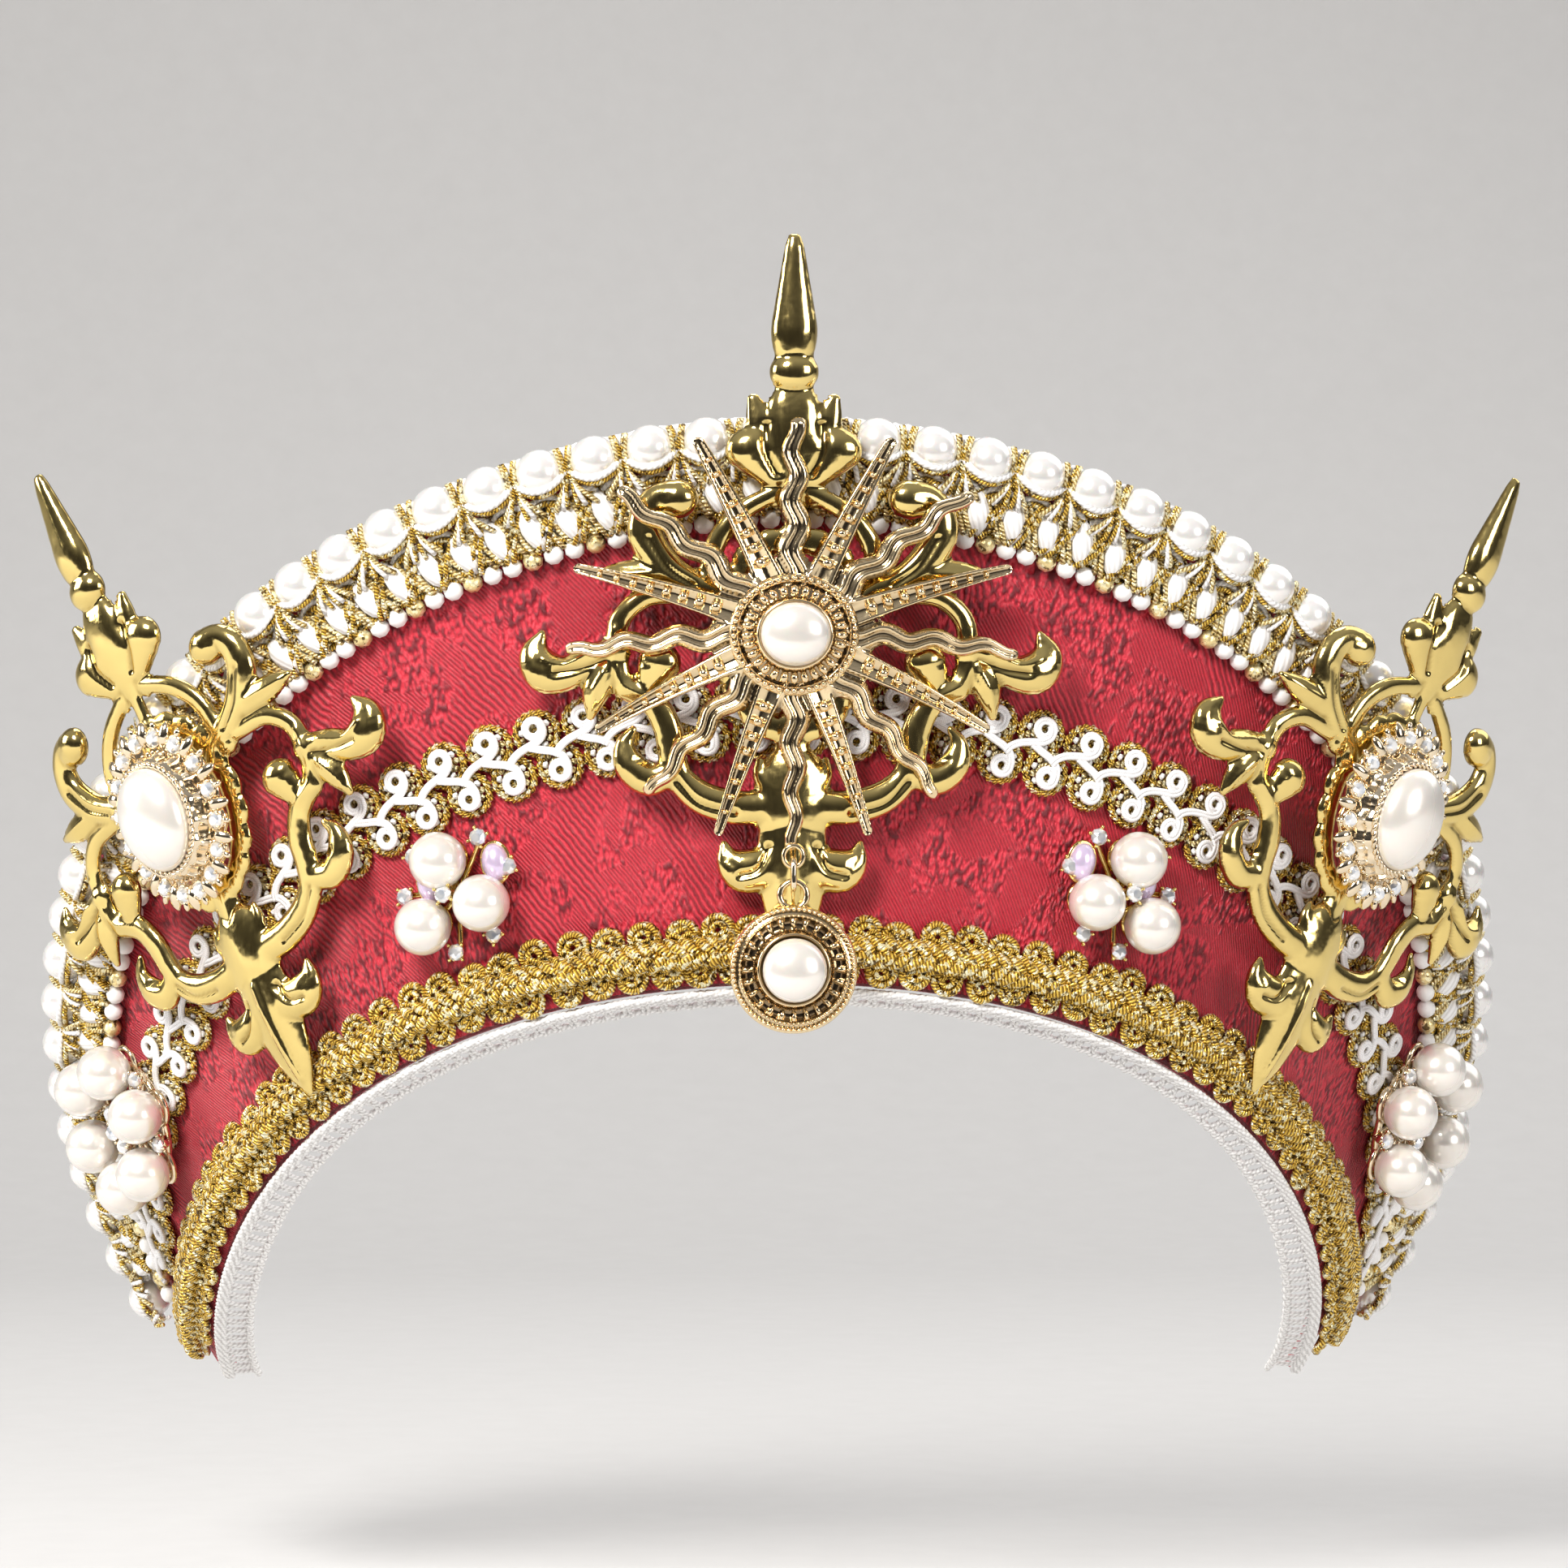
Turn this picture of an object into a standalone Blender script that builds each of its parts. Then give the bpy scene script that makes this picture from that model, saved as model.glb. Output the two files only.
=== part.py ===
"""Red brocade kokoshnik crown with pearls, braids and gilt stampings.

The crown is a crescent panel that stands on a tilted, nearly round base line and
flares outward. Metres, +Z up. The front faces -Y, and the origin is the centre of
the base line, where the head sits.
"""

import math

import bmesh
import bpy
from mathutils import Matrix, Vector

MM = 0.001
NAME = "embroidered_hat"

# Crown form
HALF_WIDTH = 90.4 * MM
HALF_DEPTH = 87.8 * MM
FLARE = math.radians(31.7)
LEAN = math.radians(30.65)
TIP_ANGLE = math.radians(100.9)
FRONT_PEARL_HEIGHT = 75.6 * MM
TIP_PEARL_HEIGHT = 3.6 * MM
PANEL_THICKNESS = 2.2 * MM
PANEL_RISE = 1.2 * MM
SIDE_DIP = 4.3 * MM
BACK_DIP = 8.0 * MM
SEAT_GAP = 0.3 * MM

# Edge trims. An end is the share of the tip angle at which a trim stops.
PEARL_RADIUS = 3.3 * MM
PEARL_PITCH = 7.87 * MM
PEARLS_PER_SIDE = 28
PEARL_OUT = PEARL_RADIUS + SEAT_GAP
THREAD_RADIUS = 0.45 * MM
PIPING_RADIUS = 0.9 * MM
PIPING_END = 0.97
GOLD_BRAID_WIDTH = 10.0 * MM
GOLD_BRAID_TIP_WIDTH = 1.0 * MM
GOLD_BRAID_EDGE = 1.2 * MM
GOLD_BRAID_RIDGE = 2.5 * MM
GOLD_BRAID_END = 0.975
SCROLL_WIDTH = 10.8 * MM
SCROLL_THICK = 2.1 * MM
SCROLL_END = 0.89
TRIM_WIDTH = 7.5 * MM
TRIM_THICK = 3.0 * MM
TRIM_GAP = 0.4 * MM
TRIM_END = 0.91
LACE_THICK = 0.8 * MM
LACE_DROP = 0.35 * MM
LACE_INSET = 0.1 * MM
LACE_FRONT_WIDTH = 3.6 * MM
LACE_SIDE_EXTRA = 1.9 * MM
LACE_END = 0.985

# Stampings. The rivet point is where each one carries its brooch.
STAMP_HEIGHT = 44.6 * MM
STAMP_HALF_THICK = 0.95 * MM
STAMP_FOOT_OUT = 2.8 * MM
STAMP_PEARL_OUT = 2.0 * PEARL_RADIUS + SEAT_GAP
STAMP_FOOT_HEIGHT = 3.0 * MM
STROKE_LIFT = 0.22 * MM
RIVET_RISE = 3.7 * MM
SIDE_STAMP_SCALE = 0.962
SIDE_STAMP_ANGLE = math.radians(45.6)
SIDE_STAMP_HEIGHT = 43.0 * MM
SIDE_STAMP_FOOT_OUT = 4.4 * MM
SIDE_STAMP_PEARL_OUT = 7.3 * MM

# Ornaments
STAR_HEIGHT = STAMP_HEIGHT + RIVET_RISE
STAR_REACH = 29.5 * MM
STAR_HUB_RADIUS = 8.2 * MM
STAR_PEARL_RADIUS = 4.35 * MM
STAR_SEAT = 2.4 * MM
RAY_HALF_THICK = 0.7 * MM
RAY_SWAY = 0.8 * MM
LOOP_DROP = 30.3 * MM
LOOP_RADIUS = 1.45 * MM
LOOP_WIRE = 0.4 * MM
LOOP_OUT = 1.35 * MM
BAIL_RADIUS = 1.85 * MM
BAIL_WIRE = 0.45 * MM
LINK_RADIUS = 1.1 * MM
LINK_WIRE = 0.4 * MM
LINK_SPAN = 2.0 * MM
DISC_RADIUS = 8.7 * MM
DISC_PEARL_RADIUS = 4.4 * MM
DISC_SEAT = 1.1 * MM
DISC_OVERLAP = 0.35 * MM
DOME = 0.6
BROOCH_HALF_WIDTH = 9.5 * MM
BROOCH_HALF_HEIGHT = 14.0 * MM
BROOCH_SEAT = 1.0 * MM
BROOCH_PEARL = (5.4 * MM, 7.4 * MM, 3.6 * MM)
ORNAMENT_PEARL_RADIUS = 4.0 * MM
STONE_SIZE = 2.2 * MM
STONE_DEPTH = 1.5 * MM
PLATE_THICK = 0.7 * MM
CLUSTER_ANGLE = math.radians(27.0)
CLUSTER_HEIGHT = 19.5 * MM
CLUSTER_OUT = 0.6 * MM
ROSETTE_ANGLE = math.radians(70.5)
ROSETTE_HEIGHT = 23.0 * MM
ROSETTE_RADIUS = 8.8 * MM
ROSETTE_OUT = SCROLL_THICK + 2.5 * SEAT_GAP

# Turned profiles in mm: rows of (radius, level), from the front's middle to the back's.
HUB_PROFILE = [(0.0, 2.3), (4.4, 2.4), (4.9, 3.4), (6.2, 3.0), (7.4, 2.4), (8.2, 1.4), (8.2, 0.05), (0.0, 0.05)]
DISC_PROFILE = [(0.0, 1.0), (4.5, 1.1), (5.0, 1.5), (5.6, 0.8), (7.6, 0.8), (8.1, 1.4), (8.7, 0.9), (8.7, -1.0),
                (0.0, -1.0)]
BROOCH_PROFILE = [(0.0, 1.0), (5.2, 1.0), (6.0, 2.2), (7.2, 2.4), (9.5, 1.8), (10.0, 1.0), (10.0, 0.05), (0.0, 0.05)]
BROOCH_PROFILE_RADIUS = 10.0 * MM

# Strokes of one half of a stamping, in mm from its centre: name, then rows of
# (sideways, up, half width).
STAMP_SIDE_STROKES = {
    "stem": [(2.4, 23.0, 1.1), (9.4, 16.5, 1.2), (11.2, 9.8, 1.3)],
    "hook": [(7.6, 7.6, 1.4), (15.8, 13.8, 2.0), (17.8, 19.2, 2.1), (14.6, 22.8, 2.5)],
    "spur": [(16.8, 13.2, 1.8), (24.2, 13.8, 0.4)],
    "branch": [(12.4, 9.6, 1.3), (19.5, 9.2, 1.4), (22.9, 3.6, 1.5), (22.4, -2.0, 1.6), (18.0, -6.2, 1.8),
               (16.8, -13.0, 2.0), (12.4, -18.6, 2.2), (4.0, -20.0, 2.2)],
    "eye": [(22.2, -2.8, 1.4), (19.2, -2.2, 1.6), (17.6, 0.8, 2.5)],
    "curl": [(17.2, -14.6, 1.7), (22.4, -13.4, 2.1), (22.2, -8.2, 0.5)],
    "arm": [(22.9, 2.8, 1.8), (29.0, 1.4, 2.1), (33.2, 2.6, 2.5), (32.4, 6.6, 0.5)],
    "leaf": [(24.6, 0.8, 1.6), (27.6, -5.4, 0.5)],
    "foot_lobe": [(4.0, -28.4, 2.6), (8.4, -28.2, 2.4), (10.2, -24.9, 0.5)],
    "crest_leaf": [(1.8, 30.5, 2.2), (4.5, 35.9, 0.5)],
    "crest_lobe": [(2.4, 26.2, 2.0), (4.9, 28.7, 3.0)],
}
# Strokes on the stamping's middle line: rows of (up, half width).
STAMP_CREST = [(57.8, 0.3), (45.0, 2.6), (41.4, 1.5), (39.6, 2.7), (37.4, 1.6), (31.0, 3.6), (23.5, 1.5),
               (13.0, 0.7)]
STAMP_FOOT = [(-8.0, 2.0), (-13.6, 2.8), (-19.5, 5.4), (-22.8, 4.9), (-28.0, 5.4), (-33.5, 4.2), (-41.0, 0.4)]
STAMP_RING = {"half_width": 8.4, "half_height": 12.4, "half_line": 1.7, "points": 12}

# Cluster stones and pearls, in mm from the setting's centre: (away from front, up).
CLUSTER_PEARLS = [(0.1, 5.0), (-4.6, -2.4), (4.6, -3.0)]
CLUSTER_STONES = [(-5.3, 6.6), (-8.6, 1.6), (-4.5, -7.0), (1.8, -7.8), (7.2, 2.0), (4.4, 6.8)]

COLOURS = {
    "brocade": ((0.42, 0.02, 0.04), 0.6, 0.0),
    "white_thread": ((0.85, 0.83, 0.78), 0.8, 0.0),
    "gold_thread": ((0.60, 0.42, 0.14), 0.45, 0.6),
    "pearl": ((0.90, 0.87, 0.82), 0.22, 0.0),
    "gilt": ((0.86, 0.62, 0.25), 0.25, 1.0),
    "rose_gilt": ((0.80, 0.60, 0.46), 0.3, 1.0),
    "pale_gilt": ((0.82, 0.72, 0.52), 0.25, 1.0),
}


def material(name):
    """The Principled material of that name, made once."""
    if name in bpy.data.materials:
        return bpy.data.materials[name]
    colour, rough, metal = COLOURS[name]
    made = bpy.data.materials.new(name)
    made.use_nodes = True
    shader = made.node_tree.nodes["Principled BSDF"]
    shader.inputs["Base Color"].default_value = (*colour, 1.0)
    shader.inputs["Roughness"].default_value = rough
    shader.inputs["Metallic"].default_value = metal
    return made


def rim_height(angle):
    """How far the base line dips below the base plane."""
    side = math.sin(angle) ** 2
    return -(SIDE_DIP * side + BACK_DIP * side * side)


def base_to_world(angle, radial, up):
    """A point given round the leaning base ellipse, out from it and up from its plane."""
    x = (HALF_WIDTH + radial) * math.sin(angle)
    y = -(HALF_DEPTH + radial) * math.cos(angle)
    return Vector((x, y * math.cos(LEAN) + up * math.sin(LEAN), -y * math.sin(LEAN) + up * math.cos(LEAN)))


def crown_point(angle, height, out):
    """A point on the flared panel: angle round the head, height up the slope, distance off its face."""
    dip = rim_height(angle)
    radial = dip * math.tan(FLARE) + height * math.sin(FLARE) + out * math.cos(FLARE)
    return base_to_world(angle, radial, dip + height * math.cos(FLARE) - out * math.sin(FLARE))


def pearl_height(angle):
    """Height up the slope of the pearl edging's middle line."""
    share = min(abs(angle) / TIP_ANGLE, 1.0)
    return TIP_PEARL_HEIGHT + (FRONT_PEARL_HEIGHT - TIP_PEARL_HEIGHT) * (1.0 - share ** 1.6) ** 0.65


def panel_top(angle):
    """Height up the slope of the panel's top edge, a little lower than the pearls reach."""
    return pearl_height(angle) + PANEL_RISE


def spread(share, end):
    """Angle of a column, closer together towards the ends, where the height changes fast."""
    return end * TIP_ANGLE * math.sin(share * math.pi / 2.0)


def add_object(name, mesh, finish):
    """Links a mesh as a named piece of the hat."""
    made = bpy.data.objects.new(name, mesh)
    mesh.materials.clear()
    mesh.materials.append(material(finish))
    PARTS.objects.link(made)
    return made


def finish_mesh(bm, name):
    """Writes a closed bmesh out with its faces pointing outward."""
    bmesh.ops.recalc_face_normals(bm, faces=bm.faces[:])
    if bm.calc_volume(signed=True) < 0.0:
        bmesh.ops.reverse_faces(bm, faces=bm.faces[:])
    return write_mesh(bm, name)


def write_mesh(bm, name):
    """Writes a bmesh out, shaded smooth apart from its sharp edges."""
    mesh = bpy.data.meshes.new(name)
    bm.to_mesh(mesh)
    bm.free()
    mesh.shade_smooth()
    mesh.set_sharp_from_angle(angle=math.radians(35.0))
    return mesh


def bent_slab(name, columns, rows, place, finish):
    """A slab whose grid of corners is bent by place(across, up, is_front)."""
    bm = bmesh.new()
    bmesh.ops.create_grid(bm, x_segments=columns, y_segments=rows, size=0.5)
    bmesh.ops.solidify(bm, geom=bm.faces[:], thickness=0.5)
    levels = [vert.co.z for vert in bm.verts]
    middle = (min(levels) + max(levels)) / 2.0
    for vert in bm.verts:
        vert.co = place(vert.co.x * 2.0, vert.co.y + 0.5, vert.co.z > middle)
    return add_object(name, finish_mesh(bm, name), finish)


def make_panel():
    """The crescent panel, one thick wall that follows the base line and the pearl line."""
    def place(across, up, is_front):
        angle = spread(across, 1.0)
        return crown_point(angle, up * panel_top(angle), 0.0 if is_front else -PANEL_THICKNESS)
    return bent_slab("crown_panel", 32, 3, place, "brocade")


def make_lace():
    """A flat crocheted strip under the lower edge, turned inward in the base plane."""
    def place(across, up, is_front):
        angle = spread(across, LACE_END)
        width = LACE_FRONT_WIDTH + LACE_SIDE_EXTRA * math.sin(angle) ** 2
        level = rim_height(angle) - LACE_DROP - (0.0 if is_front else LACE_THICK)
        radial = rim_height(angle) * math.tan(FLARE) - LACE_INSET - up * width
        return base_to_world(angle, radial, level)
    return bent_slab("lace_edging", 32, 1, place, "white_thread")


def gold_braid_top(angle):
    """The gold braid narrows where the crown's tips leave less room for it."""
    room = pearl_height(angle) - PEARL_RADIUS - 2.0 * SEAT_GAP
    return max(min(GOLD_BRAID_WIDTH, room), GOLD_BRAID_TIP_WIDTH)


def make_gold_braid():
    """A gimp braid with a raised rope along its middle."""
    def place(across, up, is_front):
        angle = spread(across, GOLD_BRAID_END)
        ridge = 1.0 - abs(2.0 * up - 1.0)
        out = GOLD_BRAID_EDGE + (GOLD_BRAID_RIDGE - GOLD_BRAID_EDGE) * ridge
        return crown_point(angle, up * gold_braid_top(angle), out if is_front else SEAT_GAP)
    return bent_slab("gold_braid", 32, 2, place, "gold_thread")


def trim_bottom(angle):
    """Lower edge of the woven trim under the pearls."""
    return pearl_height(angle) - PEARL_RADIUS - TRIM_GAP - TRIM_WIDTH


def make_trim_band():
    """The woven trim under the pearls, domed a little."""
    def place(across, up, is_front):
        angle = spread(across, TRIM_END)
        dome = 1.0 - 0.5 * abs(2.0 * up - 1.0) ** 2
        height = trim_bottom(angle) + up * TRIM_WIDTH
        return crown_point(angle, height, SEAT_GAP + TRIM_THICK * dome if is_front else SEAT_GAP)
    return bent_slab("trim_band", 32, 2, place, "white_thread")


def scroll_middle(angle):
    """Height of the scroll braid's middle line, half way between its neighbours."""
    return 0.5 * (gold_braid_top(angle) + trim_bottom(angle))


def make_scroll_braid():
    """The scroll braid along the middle, which narrows towards the tips."""
    def place(across, up, is_front):
        angle = spread(across, SCROLL_END)
        room = trim_bottom(angle) - gold_braid_top(angle) - 4.0 * SEAT_GAP
        width = min(SCROLL_WIDTH, room)
        height = scroll_middle(angle) + (up - 0.5) * width
        dome = 1.0 - 0.4 * abs(2.0 * up - 1.0) ** 2
        return crown_point(angle, height, SCROLL_THICK * dome if is_front else SEAT_GAP)
    return bent_slab("scroll_braid", 30, 2, place, "gold_thread")


def curve_mesh(name, points, depth, sides=4, closed=False):
    """A tube mesh round points of (x, y, z, radius factor)."""
    curve = bpy.data.curves.new(name, "CURVE")
    curve.dimensions = "3D"
    curve.bevel_depth = depth
    curve.bevel_resolution = sides // 2 - 2
    curve.use_fill_caps = not closed
    spline = curve.splines.new("POLY")
    spline.points.add(len(points) - 1)
    for slot, (x, y, z, factor) in zip(spline.points, points):
        slot.co = (x, y, z, 1.0)
        slot.radius = factor
    spline.use_cyclic_u = closed
    guide = bpy.data.objects.new(name, curve)
    GUIDES.objects.link(guide)
    bpy.context.view_layer.update()
    mesh = bpy.data.meshes.new_from_object(guide.evaluated_get(bpy.context.evaluated_depsgraph_get()))
    bpy.data.objects.remove(guide)
    bm = bmesh.new()
    bm.from_mesh(mesh)
    bpy.data.meshes.remove(mesh)
    bmesh.ops.remove_doubles(bm, verts=bm.verts[:], dist=0.00001)
    return finish_mesh(bm, name)


def merge(name, meshes):
    """Puts several meshes into one, without joining their surfaces."""
    bm = bmesh.new()
    for mesh in meshes:
        bm.from_mesh(mesh)
        bpy.data.meshes.remove(mesh)
    return write_mesh(bm, name)


def fuse(name, base, others):
    """Joins closed shapes that overlap into one closed body."""
    body = bpy.data.objects.new(name + "_base", base)
    cutter = bpy.data.objects.new(name + "_joined", merge(name + "_joined", others))
    for piece in (body, cutter):
        GUIDES.objects.link(piece)
        piece.hide_render = True
        piece.display_type = "WIRE"
    union = body.modifiers.new("Fuse", "BOOLEAN")
    union.operation = "UNION"
    union.solver = "EXACT"
    union.use_self = True
    union.object = cutter
    bpy.context.view_layer.update()
    mesh = bpy.data.meshes.new_from_object(body.evaluated_get(bpy.context.evaluated_depsgraph_get()))
    bpy.data.objects.remove(body)
    bpy.data.objects.remove(cutter)
    bm = bmesh.new()
    bm.from_mesh(mesh)
    bpy.data.meshes.remove(mesh)
    bmesh.ops.remove_doubles(bm, verts=bm.verts[:], dist=0.000001)
    return finish_mesh(bm, name)


def above_edge(share, rise):
    """A point above the panel's top edge, square to the edge and in line with the panel."""
    step = 0.002
    angle = spread(share, 1.0)
    before, after = (spread(share + move, 1.0) for move in (-step, step))
    middle = -0.4 * PANEL_THICKNESS
    edge = crown_point(angle, panel_top(angle), middle)
    along = crown_point(after, panel_top(after), middle) - crown_point(before, panel_top(before), middle)
    outward = crown_point(angle, panel_top(angle), 0.0) - edge
    return edge + rise * outward.cross(along).normalized()


def pearl_places():
    """Centres of the edging pearls and the direction of the thread, equally spaced along the line."""
    fine = [crown_point(TIP_ANGLE * math.sin(i / 1600.0 * math.pi / 2.0),
                        pearl_height(TIP_ANGLE * math.sin(i / 1600.0 * math.pi / 2.0)), PEARL_OUT)
            for i in range(1601)]
    places = []
    wanted = PEARL_PITCH / 2.0
    walked = 0.0
    for start, end in zip(fine, fine[1:]):
        step = (end - start).length
        while walked + step >= wanted and len(places) < PEARLS_PER_SIDE:
            places.append((start.lerp(end, (wanted - walked) / step), (end - start).normalized()))
            wanted += PEARL_PITCH
        walked += step
    mirrored = [(Vector((-p.x, p.y, p.z)), Vector((d.x, -d.y, -d.z))) for p, d in reversed(places)]
    return mirrored + places


def ball(name, radius, place, direction=Vector((0.0, 0.0, 1.0)), sides=10, rings=4, squash=(1.0, 1.0, 1.0)):
    """A pearl whose poles lie along a direction."""
    bm = bmesh.new()
    bmesh.ops.create_uvsphere(bm, u_segments=sides, v_segments=rings, radius=radius)
    turn = direction.to_track_quat("Z", "Y").to_matrix().to_4x4()
    bm.transform(Matrix.Translation(place) @ turn @ Matrix.Diagonal((*squash, 1.0)))
    return finish_mesh(bm, name)


def make_pearl_string():
    """All the edging pearls on their thread: one tube that swells into each pearl."""
    shoulder = 1.5 * MM
    swell = 0.96 * PEARL_RADIUS
    rows = []
    for place, direction in pearl_places():
        for along, radius in ((-PEARL_PITCH / 2.0, THREAD_RADIUS), (-shoulder, swell), (shoulder, swell)):
            rows.append((*(place + direction * along), radius / PEARL_RADIUS))
    last, direction = pearl_places()[-1]
    rows.append((*(last + direction * PEARL_PITCH / 2.0), THREAD_RADIUS / PEARL_RADIUS))
    add_object("pearl_string", curve_mesh("pearl_string", rows, PEARL_RADIUS, sides=10), "pearl")


def make_piping():
    """A thin cord just above the panel's top edge, behind the pearls."""
    rise = PIPING_RADIUS + SEAT_GAP
    points = [above_edge(PIPING_END * (i / 16.0 - 1.0), rise) for i in range(33)]
    mesh = curve_mesh("top_piping", [(*p, 1.0) for p in points], PIPING_RADIUS, sides=4)
    add_object("top_piping", mesh, "white_thread")


def flat_stroke(rows, lift, closed=False):
    """One ridged stroke of a stamping, flat, from rows of (sideways, up, half width) in mm."""
    points = [(x * MM, y * MM, 0.0, half) for x, y, half in rows]
    mesh = curve_mesh("stroke", points, MM, closed=closed)
    for vert in mesh.vertices:
        vert.co.z = STAMP_HALF_THICK * (1.0 + math.tanh(vert.co.z / STAMP_HALF_THICK)) + lift
    return mesh


def flat_stamping():
    """The pierced and raised stamping, flat, with its centre at the origin and its back at z = 0.

    Each stroke is lifted by its own share of STROKE_LIFT, so that no two faces lie in one plane.
    """
    drawn = []
    for side in (-1.0, 1.0):
        for rows in STAMP_SIDE_STROKES.values():
            drawn.append([(side * x, y, half) for x, y, half in rows])
    drawn.append([(0.0, up, half) for up, half in STAMP_FOOT])
    count = len(drawn) + 1
    strokes = [flat_stroke(rows, STROKE_LIFT * index / count) for index, rows in enumerate(drawn)]
    ring = []
    for i in range(STAMP_RING["points"]):
        turn = 2.0 * math.pi * (i + 0.5) / STAMP_RING["points"]
        x = STAMP_RING["half_width"] * math.sin(turn)
        y = RIVET_RISE / MM + STAMP_RING["half_height"] * math.cos(turn)
        ring.append((x, y, STAMP_RING["half_line"]))
    strokes.append(flat_stroke(ring, STROKE_LIFT, closed=True))
    crest = flat_stroke([(0.0, up, half) for up, half in STAMP_CREST], STROKE_LIFT * (count - 1) / count)
    return fuse("stamping", crest, strokes)


def stamp_out(height, foot_out, pearl_out, crown_angle):
    """Distance of a stamping's back off the panel: it lies low at its foot and passes over the pearls."""
    crossing = pearl_height(crown_angle) - PEARL_RADIUS
    slope = (pearl_out - foot_out) / (crossing - STAMP_FOOT_HEIGHT)
    return foot_out + (height - STAMP_FOOT_HEIGHT) * slope


def wrap(mesh, angle, height, out_at, scale=1.0):
    """Bends a flat mesh (sideways, up, out) round the crown at a place on the panel."""
    for vert in mesh.vertices:
        up = height + vert.co.y * scale
        turn = vert.co.x * scale / (HALF_WIDTH + height * math.sin(FLARE))
        vert.co = crown_point(angle + turn, up, out_at(up) + vert.co.z * scale)
    return mesh


def centre_out(up):
    """Back of the centre stamping."""
    return stamp_out(up, STAMP_FOOT_OUT, STAMP_PEARL_OUT, 0.0)


def side_out(up):
    """Back of a side stamping."""
    return stamp_out(up, SIDE_STAMP_FOOT_OUT, SIDE_STAMP_PEARL_OUT, SIDE_STAMP_ANGLE)


def star_out(up):
    """Back of what is riveted on the centre stamping."""
    return centre_out(up) + 2.0 * STAMP_HALF_THICK + STROKE_LIFT + SEAT_GAP


def brooch_out(up):
    """Back of what is riveted on a side stamping."""
    return side_out(up) + 2.0 * STAMP_HALF_THICK + STROKE_LIFT + SEAT_GAP


def make_stampings():
    """The three stampings: one flat design, wrapped at three places."""
    flat = flat_stamping()
    add_object("filigree_centre", wrap(flat.copy(), 0.0, STAMP_HEIGHT, centre_out), "gilt")
    for name, side in (("filigree_left", -1.0), ("filigree_right", 1.0)):
        bent = wrap(flat.copy(), side * SIDE_STAMP_ANGLE, SIDE_STAMP_HEIGHT, side_out, SIDE_STAMP_SCALE)
        add_object(name, bent, "gilt")
    bpy.data.meshes.remove(flat)


def turned(name, profile, sides, stretch=(1.0, 1.0)):
    """A solid turned about +Z from rows of (radius, level) in mm, top to bottom down the outer side."""
    mesh = bpy.data.meshes.new(name)
    rows = [(radius * MM, 0.0, level * MM) for radius, level in profile]
    mesh.from_pydata(rows, [(i, i + 1) for i in range(len(rows) - 1)], [])
    spun = bpy.data.objects.new(name, mesh)
    GUIDES.objects.link(spun)
    screw = spun.modifiers.new("Turn", "SCREW")
    screw.steps = sides
    screw.render_steps = sides
    screw.use_merge_vertices = True
    screw.merge_threshold = 0.00001
    bpy.context.view_layer.update()
    solid = bpy.data.meshes.new_from_object(spun.evaluated_get(bpy.context.evaluated_depsgraph_get()))
    bpy.data.objects.remove(spun)
    bm = bmesh.new()
    bm.from_mesh(solid)
    bpy.data.meshes.remove(solid)
    bmesh.ops.remove_doubles(bm, verts=bm.verts[:], dist=0.00001)
    bm.transform(Matrix.Diagonal((stretch[0], stretch[1], 1.0, 1.0)))
    return finish_mesh(bm, name)


def ring_mesh(name, radius, wire, centre, normal, sides=12):
    """A closed wire ring."""
    turn = normal.to_track_quat("Z", "Y").to_matrix()
    points = []
    for i in range(sides):
        step = 2.0 * math.pi * (i + 0.5) / sides
        spot = centre + turn @ Vector((radius * math.cos(step), radius * math.sin(step), 0.0))
        points.append((*spot, 1.0))
    return curve_mesh(name, points, wire, sides=6, closed=True)


def star_ray(index):
    """One ray of the star: even rays wave from side to side, odd rays are straight."""
    direction = math.radians(22.5 * index)
    wavy = index % 2 == 0
    steps = 5 if wavy else 1
    start = STAR_HUB_RADIUS * 0.8
    root_half, tip_half = (1.5, 0.8) if wavy else (1.6, 0.6)
    points = []
    for i in range(steps + 1):
        share = i / steps
        reach = start + (STAR_REACH - start) * share
        sway = RAY_SWAY * math.sin(share * math.pi * 3.0) * (1.0 - 0.5 * share) if wavy else 0.0
        x = reach * math.sin(direction) + sway * math.cos(direction)
        y = reach * math.cos(direction) - sway * math.sin(direction)
        points.append((x, y, 0.0, root_half + (tip_half - root_half) * share))
    mesh = curve_mesh("ray", points, MM)
    for vert in mesh.vertices:
        vert.co.z = RAY_HALF_THICK * (1.0 + math.tanh(vert.co.z / RAY_HALF_THICK)) + 0.004 * MM * index
    return mesh


def make_star():
    """The sixteen-rayed brooch with a stepped hub, and the loop that the drop hangs from."""
    hub = turned("hub", HUB_PROFILE, 16)
    rays = [star_ray(index) for index in range(16)]
    centre = Vector((0.0, -LOOP_DROP, LOOP_OUT))
    rays.append(ring_mesh("loop", LOOP_RADIUS, LOOP_WIRE, centre, Vector((0.0, 0.0, 1.0))))
    mesh = wrap(fuse("star_brooch", hub, rays), 0.0, STAR_HEIGHT, star_out)
    add_object("star_brooch", mesh, "rose_gilt")
    level = star_out(STAR_HEIGHT) + STAR_SEAT + SEAT_GAP
    place = crown_point(0.0, STAR_HEIGHT, level + DOME * STAR_PEARL_RADIUS)
    forward = Vector((0.0, -1.0, 0.0))
    pearl = ball("star_pearl", STAR_PEARL_RADIUS, place, forward, 12, 6, (1.0, 1.0, DOME))
    add_object("star_pearl", pearl, "pearl")


def hinge_point():
    """Middle of the star loop's lowest wire, which the drop swings on."""
    height = STAR_HEIGHT - LOOP_DROP
    centre = crown_point(0.0, height, star_out(height) + LOOP_OUT)
    return centre - Vector((0.0, 0.0, LOOP_RADIUS))


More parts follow.
